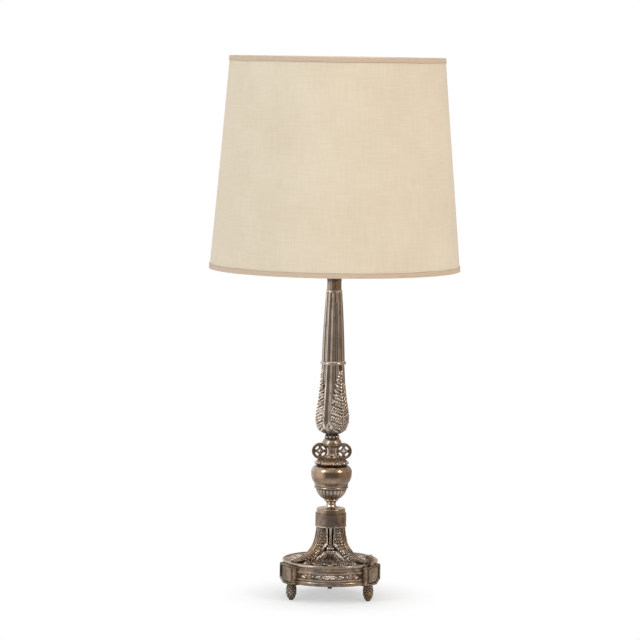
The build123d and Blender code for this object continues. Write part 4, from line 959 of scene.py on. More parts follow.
@once
def shade_lining(name):
    """The smooth white backing inside the shade."""
    material, bench, shader = new_material(name)
    weave = bench.group(plain_weave(), Thread=0.0009, Slub=20.0)
    tone = bench.ramp(weave["Cloud"], 0.3, 0.7)
    bench.link(bench.mix(tone, (0.86, 0.83, 0.76), (0.80, 0.76, 0.67)), shader.inputs["Base Color"])
    bench.link(bench.ramp(weave["Yarn"], 0.3, 0.7, 0.38, 0.5), shader.inputs["Roughness"])
    bump(bench, shader, weave["Yarn"], 0.00003)
    return material


@once
def shade_tape(name):
    """Grosgrain tape: fine ribs across it, and darker along its inner edge."""
    finish = bpy.context.scene.lamp_finish
    material, bench, shader = new_material(name)
    weave = bench.group(plain_weave(), Thread=0.0004, Slub=60.0)
    edge = bench.node("Attribute", attribute_name="patina").outputs["Fac"]
    base = list(finish.tape)
    tone = bench.mix(bench.ramp(weave["Yarn"], 0.4, 0.62), base, [part * 0.86 for part in base])
    # Darker towards the tape's inner, free edge.
    seam = bench.ramp(edge, 0.0, 0.5, 0.75, 0.0)
    bench.link(bench.mix(seam, tone, (0.30, 0.20, 0.13)), shader.inputs["Base Color"])
    bench.link(bench.ramp(weave["Yarn"], 0.35, 0.65, 0.66, 0.8), shader.inputs["Roughness"])
    shader.inputs["Sheen Weight"].default_value = 0.15
    bump(bench, shader, weave["Height"], 0.00009)
    return material


# ---------------------------------------------------------------- base
class LAMP_OT_feet(bpy.types.Operator):
    """Make the three pine-cone feet"""

    bl_idname = "lamp.feet"
    bl_label = "Pine-cone feet"

    def execute(self, context):
        for side in SIDES:
            low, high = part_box(f"foot_{side}")
            centre = ((low.x + high.x) / 2, (low.y + high.y) / 2)
            path = outline(f"foot_{side}", centre)
            path = path[path[:, 1] <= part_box(f"plinth_{side}")[0].z + CLOSE]
            path = divided(eased(path, 0.3 * MM), 0.3 * MM)
            name = f"pine_cone_{side}"
            mesh = spun(name, path, 150, foot_relief, 0, centre)
            dress_silver(name, mesh, f"foot_{side}")
        return {"FINISHED"}


def bevelled_copy(name, node, width, angle):
    """A block's own mesh with its sharp edges rounded and rubbed, and a darker sunk panel.

    The angle is the direction in which the panel faces.
    """
    line = 0.8 * MM
    edge, plain, panel, corner = 1.0, 0.6, 0.52, 0.15
    shape = bmesh.new()
    shape.from_mesh(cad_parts[node].data)
    bmesh.ops.remove_doubles(shape, verts=shape.verts, dist=CLOSE)
    flat = math.radians(1)
    bmesh.ops.dissolve_limit(
        shape, angle_limit=flat, verts=shape.verts, edges=shape.edges, delimit={"NORMAL"}
    )
    least_turn = math.radians(30)
    sharp = [side for side in shape.edges if side.is_manifold and side.calc_face_angle() > least_turn]
    bmesh.ops.bevel(
        shape, geom=sharp, offset=width, segments=2, profile=0.6, affect="EDGES", clamp_overlap=True
    )
    layer = shape.verts.layers.float.new("patina")
    planes = {}
    for face in shape.faces:
        if face.calc_area() > 4 * MM**2:
            away = round(face.normal.dot(face.verts[0].co), 5)
            key = (*(round(part, 2) for part in face.normal), away)
            planes.setdefault(key, []).append(face)
    middles = set()
    for faces in planes.values():
        bmesh.ops.inset_region(
            shape, faces=faces, thickness=line, use_even_offset=True, use_boundary=True
        )
        middles.update(vert for face in faces for vert in face.verts)
    outward = Vector((math.cos(angle), math.sin(angle), 0))
    front = max(vert.co.dot(outward) for vert in shape.verts)
    for vert in shape.verts:
        sunk = 0.5 * MM < front - vert.co.dot(outward) < 1.5 * MM
        vert[layer] = (panel if sunk else plain) if vert in middles else (corner if sunk else edge)
    mesh = bpy.data.meshes.new(name)
    shape.to_mesh(mesh)
    shape.free()
    return mesh


class LAMP_OT_plinths(bpy.types.Operator):
    """Make the three plinth blocks with soft edges"""

    bl_idname = "lamp.plinths"
    bl_label = "Plinth blocks"

    def execute(self, context):
        for side in SIDES:
            name = f"plinth_block_{side}"
            mesh = bevelled_copy(name, f"plinth_{side}", 0.35 * MM, math.radians(SIDES[side]))
            dress_silver(name, mesh, f"plinth_{side}")
        return {"FINISHED"}


class LAMP_OT_walls(bpy.types.Operator):
    """Make the three wall panels with their mouldings and frieze"""

    bl_idname = "lamp.walls"
    bl_label = "Wall panels"

    def execute(self, context):
        low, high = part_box("plinth_rear")
        half_block = (high.x - low.x) / 2
        for name, middle in PANELS.items():
            node = f"wall_panel_{name}"
            path = outline(node, angle=math.radians(middle))
            inner_r = float(outline(node, angle=math.radians(middle), inner=True)[:, 0].min())
            path = divided(eased(path, 0.25 * MM), 0.34 * MM)
            piece_name = f"moulded_wall_{name}"
            mesh = self.panel(piece_name, path, inner_r, math.radians(middle), half_block)
            dress_silver(piece_name, mesh, node)
        return {"FINISHED"}

    def panel(self, name, path, inner_r, middle, half_block, columns=330):
        """One panel between the side faces of two blocks, closed behind."""
        band_low, band_high = path[0, 1] + 9.0 * MM, path[0, 1] + 17.0 * MM
        fade = 0.5 * MM
        relief_depth = 0.95 * MM
        share = np.linspace(-1, 1, columns)[:, None]
        radius, height = path[:, 0][None, :], path[:, 1][None, :]
        normal = path_normals(path)
        arc = share * (HALF_THIRD - np.arcsin(half_block / radius)) * float(path[:, 0].max())
        carved = frieze(arc, height - (band_low + band_high) / 2)
        live = smooth(band_low, band_low + fade, height) * smooth(band_high, band_high - fade, height)
        facing = normal[:, 0][None, :] > 0.9
        lift = relief_depth * carved * live * facing
        low_fillet = ridge(height - band_low + 1.0 * MM, 0.9 * MM)
        high_fillet = ridge(height - band_high - 1.1 * MM, 1.0 * MM)
        patina = 0.5 + 0.3 * np.clip(low_fillet + high_fillet, 0, 1) - 0.16 * live + 0.7 * carved * live
        r = with_ends(radius + lift * normal[:, 0], inner_r, inner_r)
        z = with_ends(height + lift * normal[:, 1], path[0, 1], path[-1, 1])
        patina = with_ends(np.broadcast_to(patina, (columns, len(path))), HIDDEN, HIDDEN)
        theta = middle + share * (HALF_THIRD - np.arcsin(half_block / r))
        points = wrapped(r, theta, z)
        quads = grid_quads(columns, r.shape[1], False, True)
        return close_ends(make_mesh(name, points, quads, np.clip(patina, 0, 1)))


class LAMP_OT_deck(bpy.types.Operator):
    """Make the deck and the dome of leaves on it"""

    bl_idname = "lamp.deck"
    bl_label = "Deck and leaf dome"

    def execute(self, context):
        def deck_relief(theta, along, radius, height):
            rim = smooth(radius.max() - 3.0 * MM, radius.max() - 1.2 * MM, radius)
            return 0.0, 0.5 + 0.35 * rim

        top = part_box("leaf_dome")[0].z
        rise = outline("base_deck")
        bead_r = float(rise[-1, 1]) - top
        turn = np.linspace(math.pi / 2, math.pi, 7)[1:]
        fall = np.stack([rise[-1, 0] + bead_r * np.cos(turn), top + bead_r * np.sin(turn)], 1)
        under_dome = 0.7 * rise[0, 0]
        deck = np.vstack([[under_dome, rise[0, 1]], rise, fall, [under_dome, top]])
        deck = divided(eased(deck, 0.15 * MM), 1.2 * MM)
        mesh = spun("round_deck", deck, 360, deck_relief)
        dress_silver("round_deck", mesh, "base_deck")

        mesh = spun("dome_of_leaves", divided(outline("leaf_dome"), 0.42 * MM), 720, dome_relief)
        places = np.empty(len(mesh.vertices) * 3, np.float32)
        mesh.vertices.foreach_get("co", places)
        above_deck = top + 0.05 * MM
        places[2::3] = np.maximum(places[2::3], above_deck)
        mesh.vertices.foreach_set("co", places)
        dress_silver("dome_of_leaves", mesh, "leaf_dome")
        return {"FINISHED"}


# ---------------------------------------------------------------- consoles and lug
def even(path, count):
    """A path's points again, at even distances."""
    length = path_length(path)
    places = np.linspace(0, length[-1], count)
    return np.stack([np.interp(places, length, path[:, axis]) for axis in (0, 1)], 1)


class LAMP_OT_consoles(bpy.types.Operator):
    """Make the three leaf consoles and the scroll lug"""

    bl_idname = "lamp.consoles"
    bl_label = "Consoles and scroll lug"

    def execute(self, context):
        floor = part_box("leaf_dome")[0].z
        low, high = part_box("console_rear")
        width = high.x - low.x
        for side, degrees in SIDES.items():
            angle = math.radians(degrees)
            node = f"console_{side}"
            outer = outline(node, angle=angle)[::-1]
            inner = outline(node, angle=angle, inner=True)[::-1]
            mesh = self.console(f"leaf_console_{side}", outer, inner, angle, floor, width)
            dress_silver(f"leaf_console_{side}", mesh, node)
        self.lug()
        return {"FINISHED"}

    def console(self, name, outer, inner, angle, floor, width, stations=240, around=150):
        """Sweep a rounded section between the console's outer and inner outlines, and carve it."""
        deeper, lowest, lower, upper, highest = 3.5 * MM, 10 * MM, 23 * MM, 33 * MM, 47 * MM
        outer, inner = even(outer, stations), even(inner, stations)
        rise = inner[:, 1] - floor
        inner[:, 0] -= deeper * smooth(lowest, lower, rise) * smooth(highest, upper, rise)
        turn = np.linspace(0, 2 * math.pi, 2000)
        shape_of_section = [4.5, 6.0]
        ring = np.stack(squared_circle(turn, 2 / 7), 1)
        ring = even(ring * shape_of_section, around + 1)[:-1] / shape_of_section
        out_share, across = (ring[:, 0] + 1) / 2, ring[:, 1] * width / 2
        flat = inner[:, None, :] + (outer - inner)[:, None, :] * out_share[None, :, None]
        points = upright(flat, across, angle)
        normal = -grid_normals(points, False, True)
        middle = points.mean(axis=1, keepdims=True)
        normal = normal * np.sign(((points - middle) * normal).sum(2, keepdims=True).mean())

        place = np.arange(around) / around
        around_share = np.abs(np.where(place > 0.5, place - 1, place) * 2)[None, :]
        u = (around_share - 0.5) / 0.25
        v = np.linspace(0, 1, stations)[:, None]
        high_leaf, covered = acanthus(u, v / 0.54, lobes=7, sweep=2.6, rib=0.09, veins=2)
        low_leaf, _ = acanthus(u, (v - 0.36) / 0.6, lobes=7, sweep=2.6, rib=0.09, veins=2)
        relief = np.maximum(high_leaf, 0.9 * low_leaf * (1 - covered)) * (0.55 + 0.55 * sprays(u, v, 17, 3))
        front = ridge(around_share, 0.07) + ridge(around_share - 0.2, 0.05)
        relief = np.maximum(relief, 0.55 * front)
        web = smooth(0.68, 0.73, around_share)
        tip = ridge(v - 0.5, 0.03) * ridge(u, 0.5)
        ends = smooth(0, 0.02, v) * smooth(1.0, 0.975, v)
        lift = MM * (1.7 * relief - 0.35 + 0.8 * tip - 0.3 * web) * ends
        patina = np.clip(0.02 + 1.35 * relief + 0.4 * tip - 0.4 * web, 0, 1)
        points = points + normal * lift[..., None]
        above_floor = floor + 0.1 * MM
        points[..., 2] = np.maximum(points[..., 2], above_floor)
        quads = grid_quads(stations, around, False, True)
        return close_ends(make_mesh(name, points.reshape(-1, 3), quads, np.broadcast_to(patina, lift.shape)))

    def lug(self):
        """A flat bar that stands on the right block and curls in on itself at its head."""
        angle = math.radians(SIDES["right"])
        low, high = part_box("scroll_lug")
        aside = -4.0 * MM
        points, _ = section_edges("scroll_lug", (-math.sin(angle) * aside, math.cos(angle) * aside), angle)
        outer_r = max(radius for radius, _ in points.values())
        thick, curl, wide = 4.0 * MM, 5.6 * MM, 7.4 * MM
        foot_r, head_z = outer_r - thick / 2, high.z - curl
        set_back, swell, coil = 0.6 * MM, 0.5 * MM, math.radians(470)
        path, half = [], []
        for share in np.linspace(0, 1, 14):
            belly = swell * math.sin(math.pi * share)
            path.append((foot_r - set_back + belly, low.z + (head_z - low.z) * share))
            half.append(thick / 2)
        for share in np.linspace(0.03, 1, 60):
            turn = share * coil
            radius = (curl - thick / 2) * (1 - 0.72 * share)
            across = outer_r - curl + radius * math.cos(turn) - set_back * (1 - share)
            path.append((across, head_z + radius * math.sin(turn)))
            half.append(thick / 2 * (1 - 0.42 * share))
        path, half = np.array(path), np.array(half)
        normal = path_normals(path)
        around = 40
        turn = np.linspace(0, 2 * math.pi, around + 1)[:-1]
        bulge, across = squared_circle(turn, 0.35)
        flat = path[:, None, :] + normal[:, None, :] * (half[:, None] * bulge[None, :])[..., None]
        points = upright(flat, across * wide / 2 + aside, angle).reshape(-1, 3)
        patina = np.broadcast_to(0.2 + 0.4 * np.abs(bulge)[None, :], flat.shape[:2])
        quads = grid_quads(len(path), around, False, True)
        mesh = close_ends(make_mesh("curled_lug", points, quads, patina))
        dress_silver("curled_lug", mesh, "scroll_lug")


# ---------------------------------------------------------------- stem and urn
class LAMP_OT_stem(bpy.types.Operator):
    """Make the column, the collar and its cap"""

    bl_idname = "lamp.stem"
    bl_label = "Column and collar"

    def execute(self, context):
        def lip_relief(theta, along, radius, height):
            lip = smooth(height.min() + 1.6 * MM, height.min() + 1.0 * MM, height)
            return 0.0, 0.46 + 0.44 * lip

        def column_relief(theta, along, radius, height):
            return 0.0, 0.95

        silver_turning("slim_column", "stem_column", 96, column_relief, state="rubbed")
        silver_turning("plain_collar", "collar_drum", 160, lip_relief)
        silver_turning("stepped_cap", "collar_cap", 160, ease=0.5)
        return {"FINISHED"}


class LAMP_OT_urn(bpy.types.Operator):
    """Make the urn: spool, gadrooned bowl, belly, flange, waist and cap"""

    bl_idname = "lamp.urn"
    bl_label = "Urn"

    def execute(self, context):
        silver_turning("ringed_spool", "urn_spool", 120, state="rubbed")
        silver_turning("gadrooned_bowl", "urn_bowl", 24 * 20, bowl_relief, step=0.3)
        silver_turning("smooth_belly", "urn_body", 200, step=0.8)
        silver_turning("leaf_flange", "urn_flange", 8 * 64, flange_relief, step=0.22)
        silver_turning("fluted_waist", "urn_waist", 8 * 24, waist_relief, step=0.4, state="rubbed")
        silver_turning("urn_cushion_cap", "urn_cap", 140)
        return {"FINISHED"}


class LAMP_OT_ears(bpy.types.Operator):
    """Make the ring ears with their rosettes"""

    bl_idname = "lamp.ears"
    bl_label = "Ring ears and rosettes"

    def execute(self, context):
        for side, sign in (("left", -1), ("right", 1)):
            low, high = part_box(f"ear_{side}")
            outer = (high.z - low.z) / 2
            centre = Vector((high.x - outer if sign > 0 else low.x + outer, 0, (high.z + low.z) / 2))
            rose_low, rose_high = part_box(f"rosette_{side}")
            hole = (rose_high.z - rose_low.z) / 2
            ring = self.ring(f"grooved_ring_{side}", centre, outer, hole, high.y)
            dress_silver(f"grooved_ring_{side}", ring, f"ear_{side}")
            rose = self.rosette(f"four_petals_{side}", centre, hole)
            dress_silver(f"four_petals_{side}", rose, f"rosette_{side}")
        return {"FINISHED"}

    def ring(self, name, centre, outer, hole, half):
        """A ring with a rounded section and two grooves round its rim."""
        groove_depth, face_depth = 0.45 * MM, 0.4 * MM
        columns, around = 160, 72
        turn = np.arange(around) * (2 * math.pi / around)
        depth, width = squared_circle(turn, 0.45)
        middle, thick = (outer + hole) / 2, (outer - hole) / 2
        on_rim = smooth(0.6, 0.95, depth)
        groove = on_rim * (ridge(width - 0.34, 0.13) + ridge(width + 0.34, 0.13))
        face = smooth(0.7, 0.98, np.abs(width)) * ridge(depth, 0.3)
        radius = middle + thick * depth - groove_depth * groove
        across = half * width - face_depth * np.sign(width) * face
        phi = np.arange(columns)[:, None] * (2 * math.pi / columns)
        points = np.stack([
            centre.x + radius * np.cos(phi), centre.y + across + 0 * phi, centre.z + radius * np.sin(phi)
        ], 2).reshape(-1, 3)
        patina = np.broadcast_to(0.7 - 0.6 * groove - 0.45 * face, (columns, around))
        return weld(make_mesh(name, points, grid_quads(columns, around, True, True), patina))

    def rosette(self, name, centre, hole):
        """A round flower whose four petals reach the ring, alike on both faces."""
        columns, rows = 160, 30
        phi = np.arange(columns)[:, None] * (2 * math.pi / columns)
        share = np.linspace(0, 1, rows)[None, :]
        wave = np.abs(np.cos(2 * phi))
        reach = hole * (0.66 + 0.38 * smooth(0.62, 0.86, wave))
        radius = reach * share
        petal = np.sqrt(np.clip(1 - share**2, 0, 1))
        boss = ridge(radius, 1.7 * MM)
        seam = ridge(turned_from(phi, math.pi / 4, 4) * radius, 0.6 * MM)
        seam = seam * smooth(1.6 * MM, 2.4 * MM, radius)
        crease = ridge(turned_from(phi, 0, 4) * radius, 0.35 * MM) * smooth(1.5 * MM, 2.5 * MM, radius)
        half = 0.35 * MM + 0.95 * MM * petal + 1.0 * MM * boss - 0.3 * MM * crease - 0.7 * MM * seam * petal
        half = half * np.sqrt(np.clip(1 - share**10, 0, 1))
        x, z = centre.x + radius * np.cos(phi), centre.z + radius * np.sin(phi)
        patina = np.clip(0.6 + 0.5 * boss + 0.3 * petal - 0.3 * crease - 0.75 * seam, 0, 1)
        shells = []
        for sign in (-1, 1):
            points = np.stack([x, centre.y + sign * half, z], 2).reshape(-1, 3)
            shells.append(make_mesh(name, points, grid_quads(columns, rows), patina))
        return weld(joined(name, shells))


class LAMP_OT_beads(bpy.types.Operator):
    """Make the ring of beads under the baluster"""

    bl_idname = "lamp.beads"
    bl_label = "Bead ring"

    def execute(self, context):
        count = context.scene.lamp_ornament.beads
        low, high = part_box("bead_ring")
        outer = (high.x - low.x) / 2
        size, small = 2.1 * MM, 1.15 * MM
        core = outer - size
        small_r, small_rise = core - 0.6 * MM, 4.7 * MM
        waist = np.array([
            (core, low.z), (core, low.z + 3.4 * MM), (core - 1.1 * MM, low.z + 4.4 * MM), (core, high.z)
        ])
        shells = [spun("core", divided(eased(waist, 0.6 * MM), 0.5 * MM), 120, base_patina=0.2)]
        for k in range(count):
            turn = 2 * math.pi * (k + 0.5) / count
            place = (core * math.cos(turn), core * math.sin(turn), low.z + size)
            shells.append(ball("bead", place, size, patina=1.0))
            turn = 2 * math.pi * k / count
            place = (small_r * math.cos(turn), small_r * math.sin(turn), low.z + small_rise)
            shells.append(ball("bead", place, small, 14, 10, 0.75))
        dress_silver("beaded_neck", joined("beaded_neck", shells), "bead_ring")
        return {"FINISHED"}


class LAMP_OT_baluster(bpy.types.Operator):
    """Make the baluster, its ring, the fluted shaft and the neck over it"""

    bl_idname = "lamp.baluster"
    bl_label = "Baluster and shaft"

    def execute(self, context):
        crest = context.scene.lamp_ornament.flute_turn
        silver_turning("leaf_baluster", "baluster", 12 * 34, baluster_relief, step=0.5, state="rubbed")
        silver_turning("plain_ring", "shaft_ring", 140, step=0.6, state="rubbed")
        silver_turning(
            "fluted_column", "fluted_shaft", 12 * 24, shaft_relief, step=0.9, ease=0.2, state="rubbed",
            angle=crest,
        )
        silver_turning("leaf_neck", "shaft_capital", 12 * 20, capital_relief, step=0.5)
        return {"FINISHED"}


# ---------------------------------------------------------------- electrical parts and hidden pieces
class LAMP_OT_works(bpy.types.Operator):
    """Give the lampholder, bulb, rod, ballast and fasteners their finishes"""

    bl_idname = "lamp.works"
    bl_label = "Lampholder, bulb and inner parts"

    def execute(self, context):
        finishes = {
            plain_metal("steel", 0.28, 90.0): (
                "tie_rod", "rod_nut", "rod_washer", "base_plate", "plate_screws", "console_screws",
            ),
            plain_metal("iron", 0.62, 120.0): ("ballast_ring",),
            plain_metal("brass", 0.24, 60.0): ("holder_cap", "holder_body", "shade_ring"),
            plain_metal("contact", 0.3, 80.0): ("contact_shell", "centre_contact"),
            plain_metal("aluminium", 0.3, 110.0): ("bulb_cap",),
            plain_solid("rubber", 0.7, 1500.0): ("cord_bush",),
            plain_solid("sheath", 0.45, 900.0): ("inner_lead",),
            plain_solid("ivory", 0.5, 1100.0): ("terminal_block",),
            plain_solid("porcelain", 0.16, 700.0): ("holder_core",),
            plain_solid("bakelite", 0.22, 800.0): ("switch_knob",),
            plain_solid("paint", 0.42, 1000.0): ("shade_top_wire", "shade_spider"),
            plain_solid("phosphor", 0.5, 1600.0): ("bulb_filament",),
            bulb_glass(): ("bulb_glass",),
        }
        for material, nodes in finishes.items():
            for node in nodes:
                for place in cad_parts[node].material_slots:
                    place.material = material
        return {"FINISHED"}


# ---------------------------------------------------------------- shade
def shade_outline():
    """The cover's lower and upper outer radius and height."""
    low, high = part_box("shade_cover")
    points, _ = section_edges("shade_cover", (0, 0), 0.0)
    top_r = max(radius for radius, height in points.values() if height > high.z - CLOSE)
    return high.x, low.z, top_r, high.z


class LAMP_OT_shade(bpy.types.Operator):
    """Make the fabric cover and the tapes round its edges"""

    bl_idname = "lamp.shade"
    bl_label = "Fabric shade"

    def execute(self, context):
        bottom_r, bottom_z, top_r, top_z = shade_outline()
        cover = self.cover("fabric_cover", bottom_r, bottom_z, top_r, top_z)
        cloths = [shade_fabric(), shade_lining()]
        piece = dress("fabric_cover", cover, "shade", "shade_fabric", cloths, "shade_cover")
        slope = (bottom_r - top_r) / (top_z - bottom_z)
        for label, edge_z, radius, into in (("bottom", bottom_z, bottom_r, 1), ("top", top_z, top_r, -1)):
            name, node = f"edge_tape_{label}", f"trim_{label}"
            low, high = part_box(node)
            mesh = self.tape(name, radius, edge_z, (high.z - low.z) * into, slope)
            dress(name, mesh, "shade", "shade_tape", [shade_tape()], node)
        return {"FINISHED"}

    def cover(self, name, bottom_r, bottom_z, top_r, top_z, columns=288, rows=60, thick=0.75 * MM):
        """A thin cone of fabric, a touch slack between its wires, with one lapped seam behind."""
        theta = math.pi / 2 + np.arange(columns)[:, None] * (2 * math.pi / columns)
        share = np.linspace(0, 1, rows)[None, :]
        between = np.sin(math.pi * share)
        waves = 0.35 * np.sin(5 * theta + 1.0) + 0.25 * np.sin(9 * theta + 2.2 + 2 * share)
        slack = between * waves
        pull = -0.3 * between
        lap = 0.35 * smooth(0.06, 0.045, (theta - math.pi / 2) % (2 * math.pi))
        outer = bottom_r + (top_r - bottom_r) * share + (slack + pull + lap - 0.35) * MM
        inner = outer - thick
        z = bottom_z + (top_z - bottom_z) * share + 0 * theta
        r = np.hstack([outer, inner[:, ::-1]])
        z = np.hstack([z, z[:, ::-1]])
        points = wrapped(r, theta, z)
        slant = math.hypot(bottom_r - top_r, top_z - bottom_z)
        up = np.concatenate([share[0] * slant, (1 - share[0]) * slant])
        quads = grid_quads(columns, 2 * rows, True, True)
        uv = grid_uv(columns, 2 * rows, 2 * math.pi * bottom_r, up, True)
        mesh = make_mesh(name, points, quads, None, uv)
        which = np.tile(np.concatenate([np.zeros(rows), np.ones(rows)]), columns).astype(np.int32)
        mesh.polygons.foreach_set("material_index", which)
        return mesh

    def tape(self, name, radius, edge_z, height, slope, columns=360, thick=0.42 * MM):
        """Tape folded over the cover's edge, a little uneven along its free edge.

        The profile lists distances out from the cover, shares of the height, and how free each place is.
        """
        back, inner_face, inner_back = -0.6 * MM, -1.35 * MM, -1.1 * MM
        theta = np.arange(columns)[:, None] * (2 * math.pi / columns)
        into = math.copysign(1, height)
        wander = 0.18 * np.sin(7 * theta) + 0.12 * np.sin(16 * theta + 1.3) + 0.08 * np.sin(41 * theta)
        profile = []
        for share in np.linspace(1, 0, 9):
            profile.append((thick, share, share))
        for turn in np.linspace(0.15, 0.85, 6) * math.pi:
            profile.append((back + (thick - back) * math.cos(turn), -0.045 * math.sin(turn), 0))
        for share in np.linspace(0, 0.8, 6):
            profile.append((inner_face, share, share))
        for share in np.linspace(0.8, 0, 6):
            profile.append((inner_back, share, share))
        profile.append((-0.5 * MM, 0.01, 0))
        for share in np.linspace(0.02, 1, 9):
            profile.append((-0.02 * MM, share, share))
        out, up, free = np.array(profile, float).T[:, None, :]
        rise = height * up + wander * MM * free * into
        r = radius - slope * rise + out
        z = edge_z + rise
        points = wrapped(r, theta, z)
        # Lower towards the free edge, where the tape's colour is darker.
        patina = np.broadcast_to(1 - smooth(0.8, 1.0, free), (columns, len(profile)))
        length = path_length(np.stack([out[0], (height * up)[0]], 1))
        uv = grid_uv(columns, len(profile), 2 * math.pi * radius, length, True)
        quads = grid_quads(columns, len(profile), True, True)
        return close_ends(make_mesh(name, points, quads, patina, uv))


# ---------------------------------------------------------------- studio
def seen_directly(bench, rays):
    """1 where the camera looks, also through glass."""
    return bench.math("ADD", rays.outputs["Is Camera Ray"], rays.outputs["Is Transmission Ray"], clamp=True)


def mix_shaders(bench, share, first, second):
    """A node that mixes two shaders by a share."""
    mixed = bench.node("MixShader")
    bench.link(share, mixed.inputs[0])
    bench.link(first.outputs[0], mixed.inputs[1])
    bench.link(second.outputs[0], mixed.inputs[2])
    return mixed


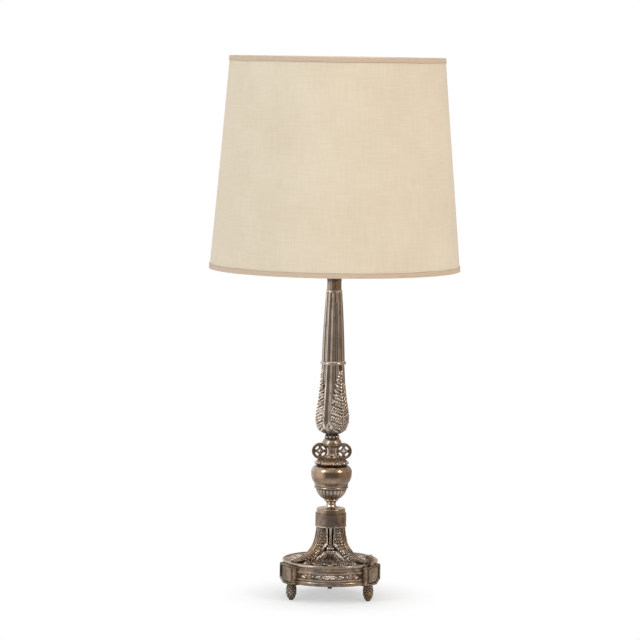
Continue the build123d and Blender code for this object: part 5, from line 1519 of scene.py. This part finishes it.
class LAMP_OT_studio(bpy.types.Operator):
    """Set the pale floor, the soft lights and the camera"""

    bl_idname = "lamp.studio"
    bl_label = "Studio"

    def execute(self, context):
        self.floor()
        self.world(context.scene)
        self.lights(context.scene.lamp_studio)
        self.camera(context.scene)
        context.scene.view_settings.view_transform = "Standard"
        return {"FINISHED"}

    def floor(self):
        """A round floor that fades into the background away from the lamp. Near the lamp the camera sees it
        as half white glow, a painted lightening of the lamp's shadow. Glossy rays far off see it painted
        with the room's tone, a painted reflection of the studio.
        """
        edge = 60.0
        mesh = bpy.data.meshes.new("studio_floor")
        shape = bmesh.new()
        bmesh.ops.create_circle(shape, cap_ends=True, segments=96, radius=edge)
        shape.to_mesh(mesh)
        shape.free()
        material = bpy.data.materials.new("Studio floor")
        material.use_nodes = True
        material.node_tree.nodes.clear()
        bench = Bench(material.node_tree)
        paint = bench.node("BsdfDiffuse")
        glow = bench.node("Emission")
        glow.inputs["Color"].default_value = (1, 1, 1, 1)
        place = bench.node("TexCoord").outputs["Object"]
        away = bench.node("VectorMath", operation="LENGTH")
        bench.link(place, away.inputs[0])
        rays = bench.node("LightPath")
        seen = seen_directly(bench, rays)
        # Painted light: half white glow near the lamp lightens its shadow. Past 0.17 m it is all glow, the
        # white background.
        share = bench.math("MULTIPLY", bench.ramp(away.outputs["Value"], 0.05, 0.17, 0.5, 1.0), seen)
        # Painted reflection: far off, glossy rays see the floor in the room's tone, dark in front and light
        # at the left.
        far = bench.ramp(away.outputs["Value"], 0.15, 0.5)
        far = bench.math("MULTIPLY", far, rays.outputs["Is Glossy Ray"])
        tone = bench.group(room_tone(), Direction=place)["Color"]
        bench.link(bench.mix(far, (0.9, 0.9, 0.9), tone), paint.inputs["Color"])
        output = bench.node("OutputMaterial")
        bench.link(mix_shaders(bench, share, paint, glow).outputs[0], output.inputs["Surface"])
        mesh.materials.append(material)
        floor = bpy.data.objects.new("studio_floor", mesh)
        bpy.context.scene.collection.objects.link(floor)

    def world(self, scene):
        """White to the camera, softer to the lamp, with a darker band of room low in front."""
        world = bpy.data.worlds.new("Studio room")
        scene.world = world
        world.use_nodes = True
        world.node_tree.nodes.clear()
        bench = Bench(world.node_tree)
        tone = bench.group(room_tone(), Direction=bench.node("TexCoord").outputs["Generated"])["Color"]
        rays = bench.node("LightPath")
        white = bench.node("Background")
        white.inputs["Color"].default_value = (1, 1, 1, 1)
        mirrored = bench.node("Background")
        bench.link(tone, mirrored.inputs["Color"])
        soft = bench.node("Background")
        soft.inputs["Color"].default_value = (1.0, 0.985, 0.96, 1)
        soft.inputs["Strength"].default_value = scene.lamp_studio.room
        gloss = mix_shaders(bench, rays.outputs["Is Glossy Ray"], soft, mirrored)
        output = bench.node("OutputWorld")
        seen = seen_directly(bench, rays)
        bench.link(mix_shaders(bench, seen, gloss, white).outputs[0], output.inputs["Surface"])

    def lights(self, studio):
        """Two tall softboxes in front, and one overhead. Angles are degrees, the rest metres and shares."""
        boxes = (
            ("left_softbox", -52, 30, 2.4, (0.5, 1.1), 1.18, (0.85, 0.935, 1.0)),
            ("right_softbox", 54, 30, 2.4, (0.45, 1.0), 1.14, (1.0, 0.955, 0.88)),
            ("top_softbox", 0, 84, 2.6, (1.6, 1.6), 0.9, (1.0, 0.995, 0.985)),
        )
        middle_height = 0.35
        aim = Vector((0, 0, middle_height))
        for name, azimuth, elevation, away, size, share, colour in boxes:
            turn, rise = math.radians(azimuth), math.radians(elevation)
            level = math.cos(rise)
            back = Vector((math.sin(turn) * level, -math.cos(turn) * level, math.sin(rise)))
            data = bpy.data.lights.new(name, "AREA")
            data.shape = "RECTANGLE"
            data.size, data.size_y = size
            data.energy = studio.softbox_power * share
            data.color = colour
            light = bpy.data.objects.new(name, data)
            light.location = aim + back * away
            light.rotation_mode = "QUATERNION"
            light.rotation_quaternion = (-back).to_track_quat("-Z", "Y")
            bpy.context.scene.collection.objects.link(light)

    def camera(self, scene):
        """A long lens at the photograph's height, rolled by its small tilt."""
        studio = scene.lamp_studio
        data = bpy.data.cameras.new("camera")
        data.lens = studio.lens
        data.sensor_width = 36.0
        data.clip_end = 200.0
        camera = bpy.data.objects.new("camera", data)
        scene.collection.objects.link(camera)
        turn = studio.azimuth
        right = Vector((math.cos(turn), math.sin(turn), 0))
        eye = Vector((math.sin(turn), -math.cos(turn), 0)) * studio.distance
        eye.z = studio.height
        aim = right * studio.aim_x
        aim.z = studio.aim_z
        look = (aim - eye).to_track_quat("-Z", "Y").to_matrix().to_4x4()
        camera.matrix_world = Matrix.Translation(eye) @ look @ Matrix.Rotation(studio.roll, 4, "Z")
        scene.camera = camera


# ---------------------------------------------------------------- panel and registration
class LAMP_PT_tools(bpy.types.Panel):
    """Lists the steps that dress the lamp"""

    bl_idname = "LAMP_PT_tools"
    bl_label = "Candlestick lamp"
    bl_space_type = "VIEW_3D"
    bl_region_type = "UI"
    bl_category = "Lamp"

    def draw(self, context):
        for operator in STEPS:
            self.layout.operator(operator.bl_idname)
        for group in ("lamp_ornament", "lamp_finish", "lamp_studio"):
            settings = getattr(context.scene, group)
            for name in settings.bl_rna.properties.keys():
                if name not in ("rna_type", "name"):
                    self.layout.prop(settings, name)


STEPS = (
    LAMP_OT_feet, LAMP_OT_plinths, LAMP_OT_walls, LAMP_OT_deck, LAMP_OT_consoles, LAMP_OT_stem, LAMP_OT_urn,
    LAMP_OT_ears, LAMP_OT_beads, LAMP_OT_baluster, LAMP_OT_works, LAMP_OT_shade, LAMP_OT_studio,
)
SETTINGS = {"lamp_ornament": OrnamentSettings, "lamp_finish": FinishSettings, "lamp_studio": StudioSettings}


def register():
    for group in SETTINGS.values():
        bpy.utils.register_class(group)
    for name, group in SETTINGS.items():
        setattr(bpy.types.Scene, name, bpy.props.PointerProperty(type=group))
    for step in STEPS:
        bpy.utils.register_class(step)
    bpy.utils.register_class(LAMP_PT_tools)


def unregister():
    bpy.utils.unregister_class(LAMP_PT_tools)
    for step in reversed(STEPS):
        bpy.utils.unregister_class(step)
    for name, group in SETTINGS.items():
        delattr(bpy.types.Scene, name)
        bpy.utils.unregister_class(group)


def main():
    register()
    for step in STEPS:
        area, action = step.bl_idname.split(".")
        if getattr(getattr(bpy.ops, area), action)() != {"FINISHED"}:
            raise RuntimeError(f"{step.bl_label} did not finish")


if __name__ == "__main__":
    main()
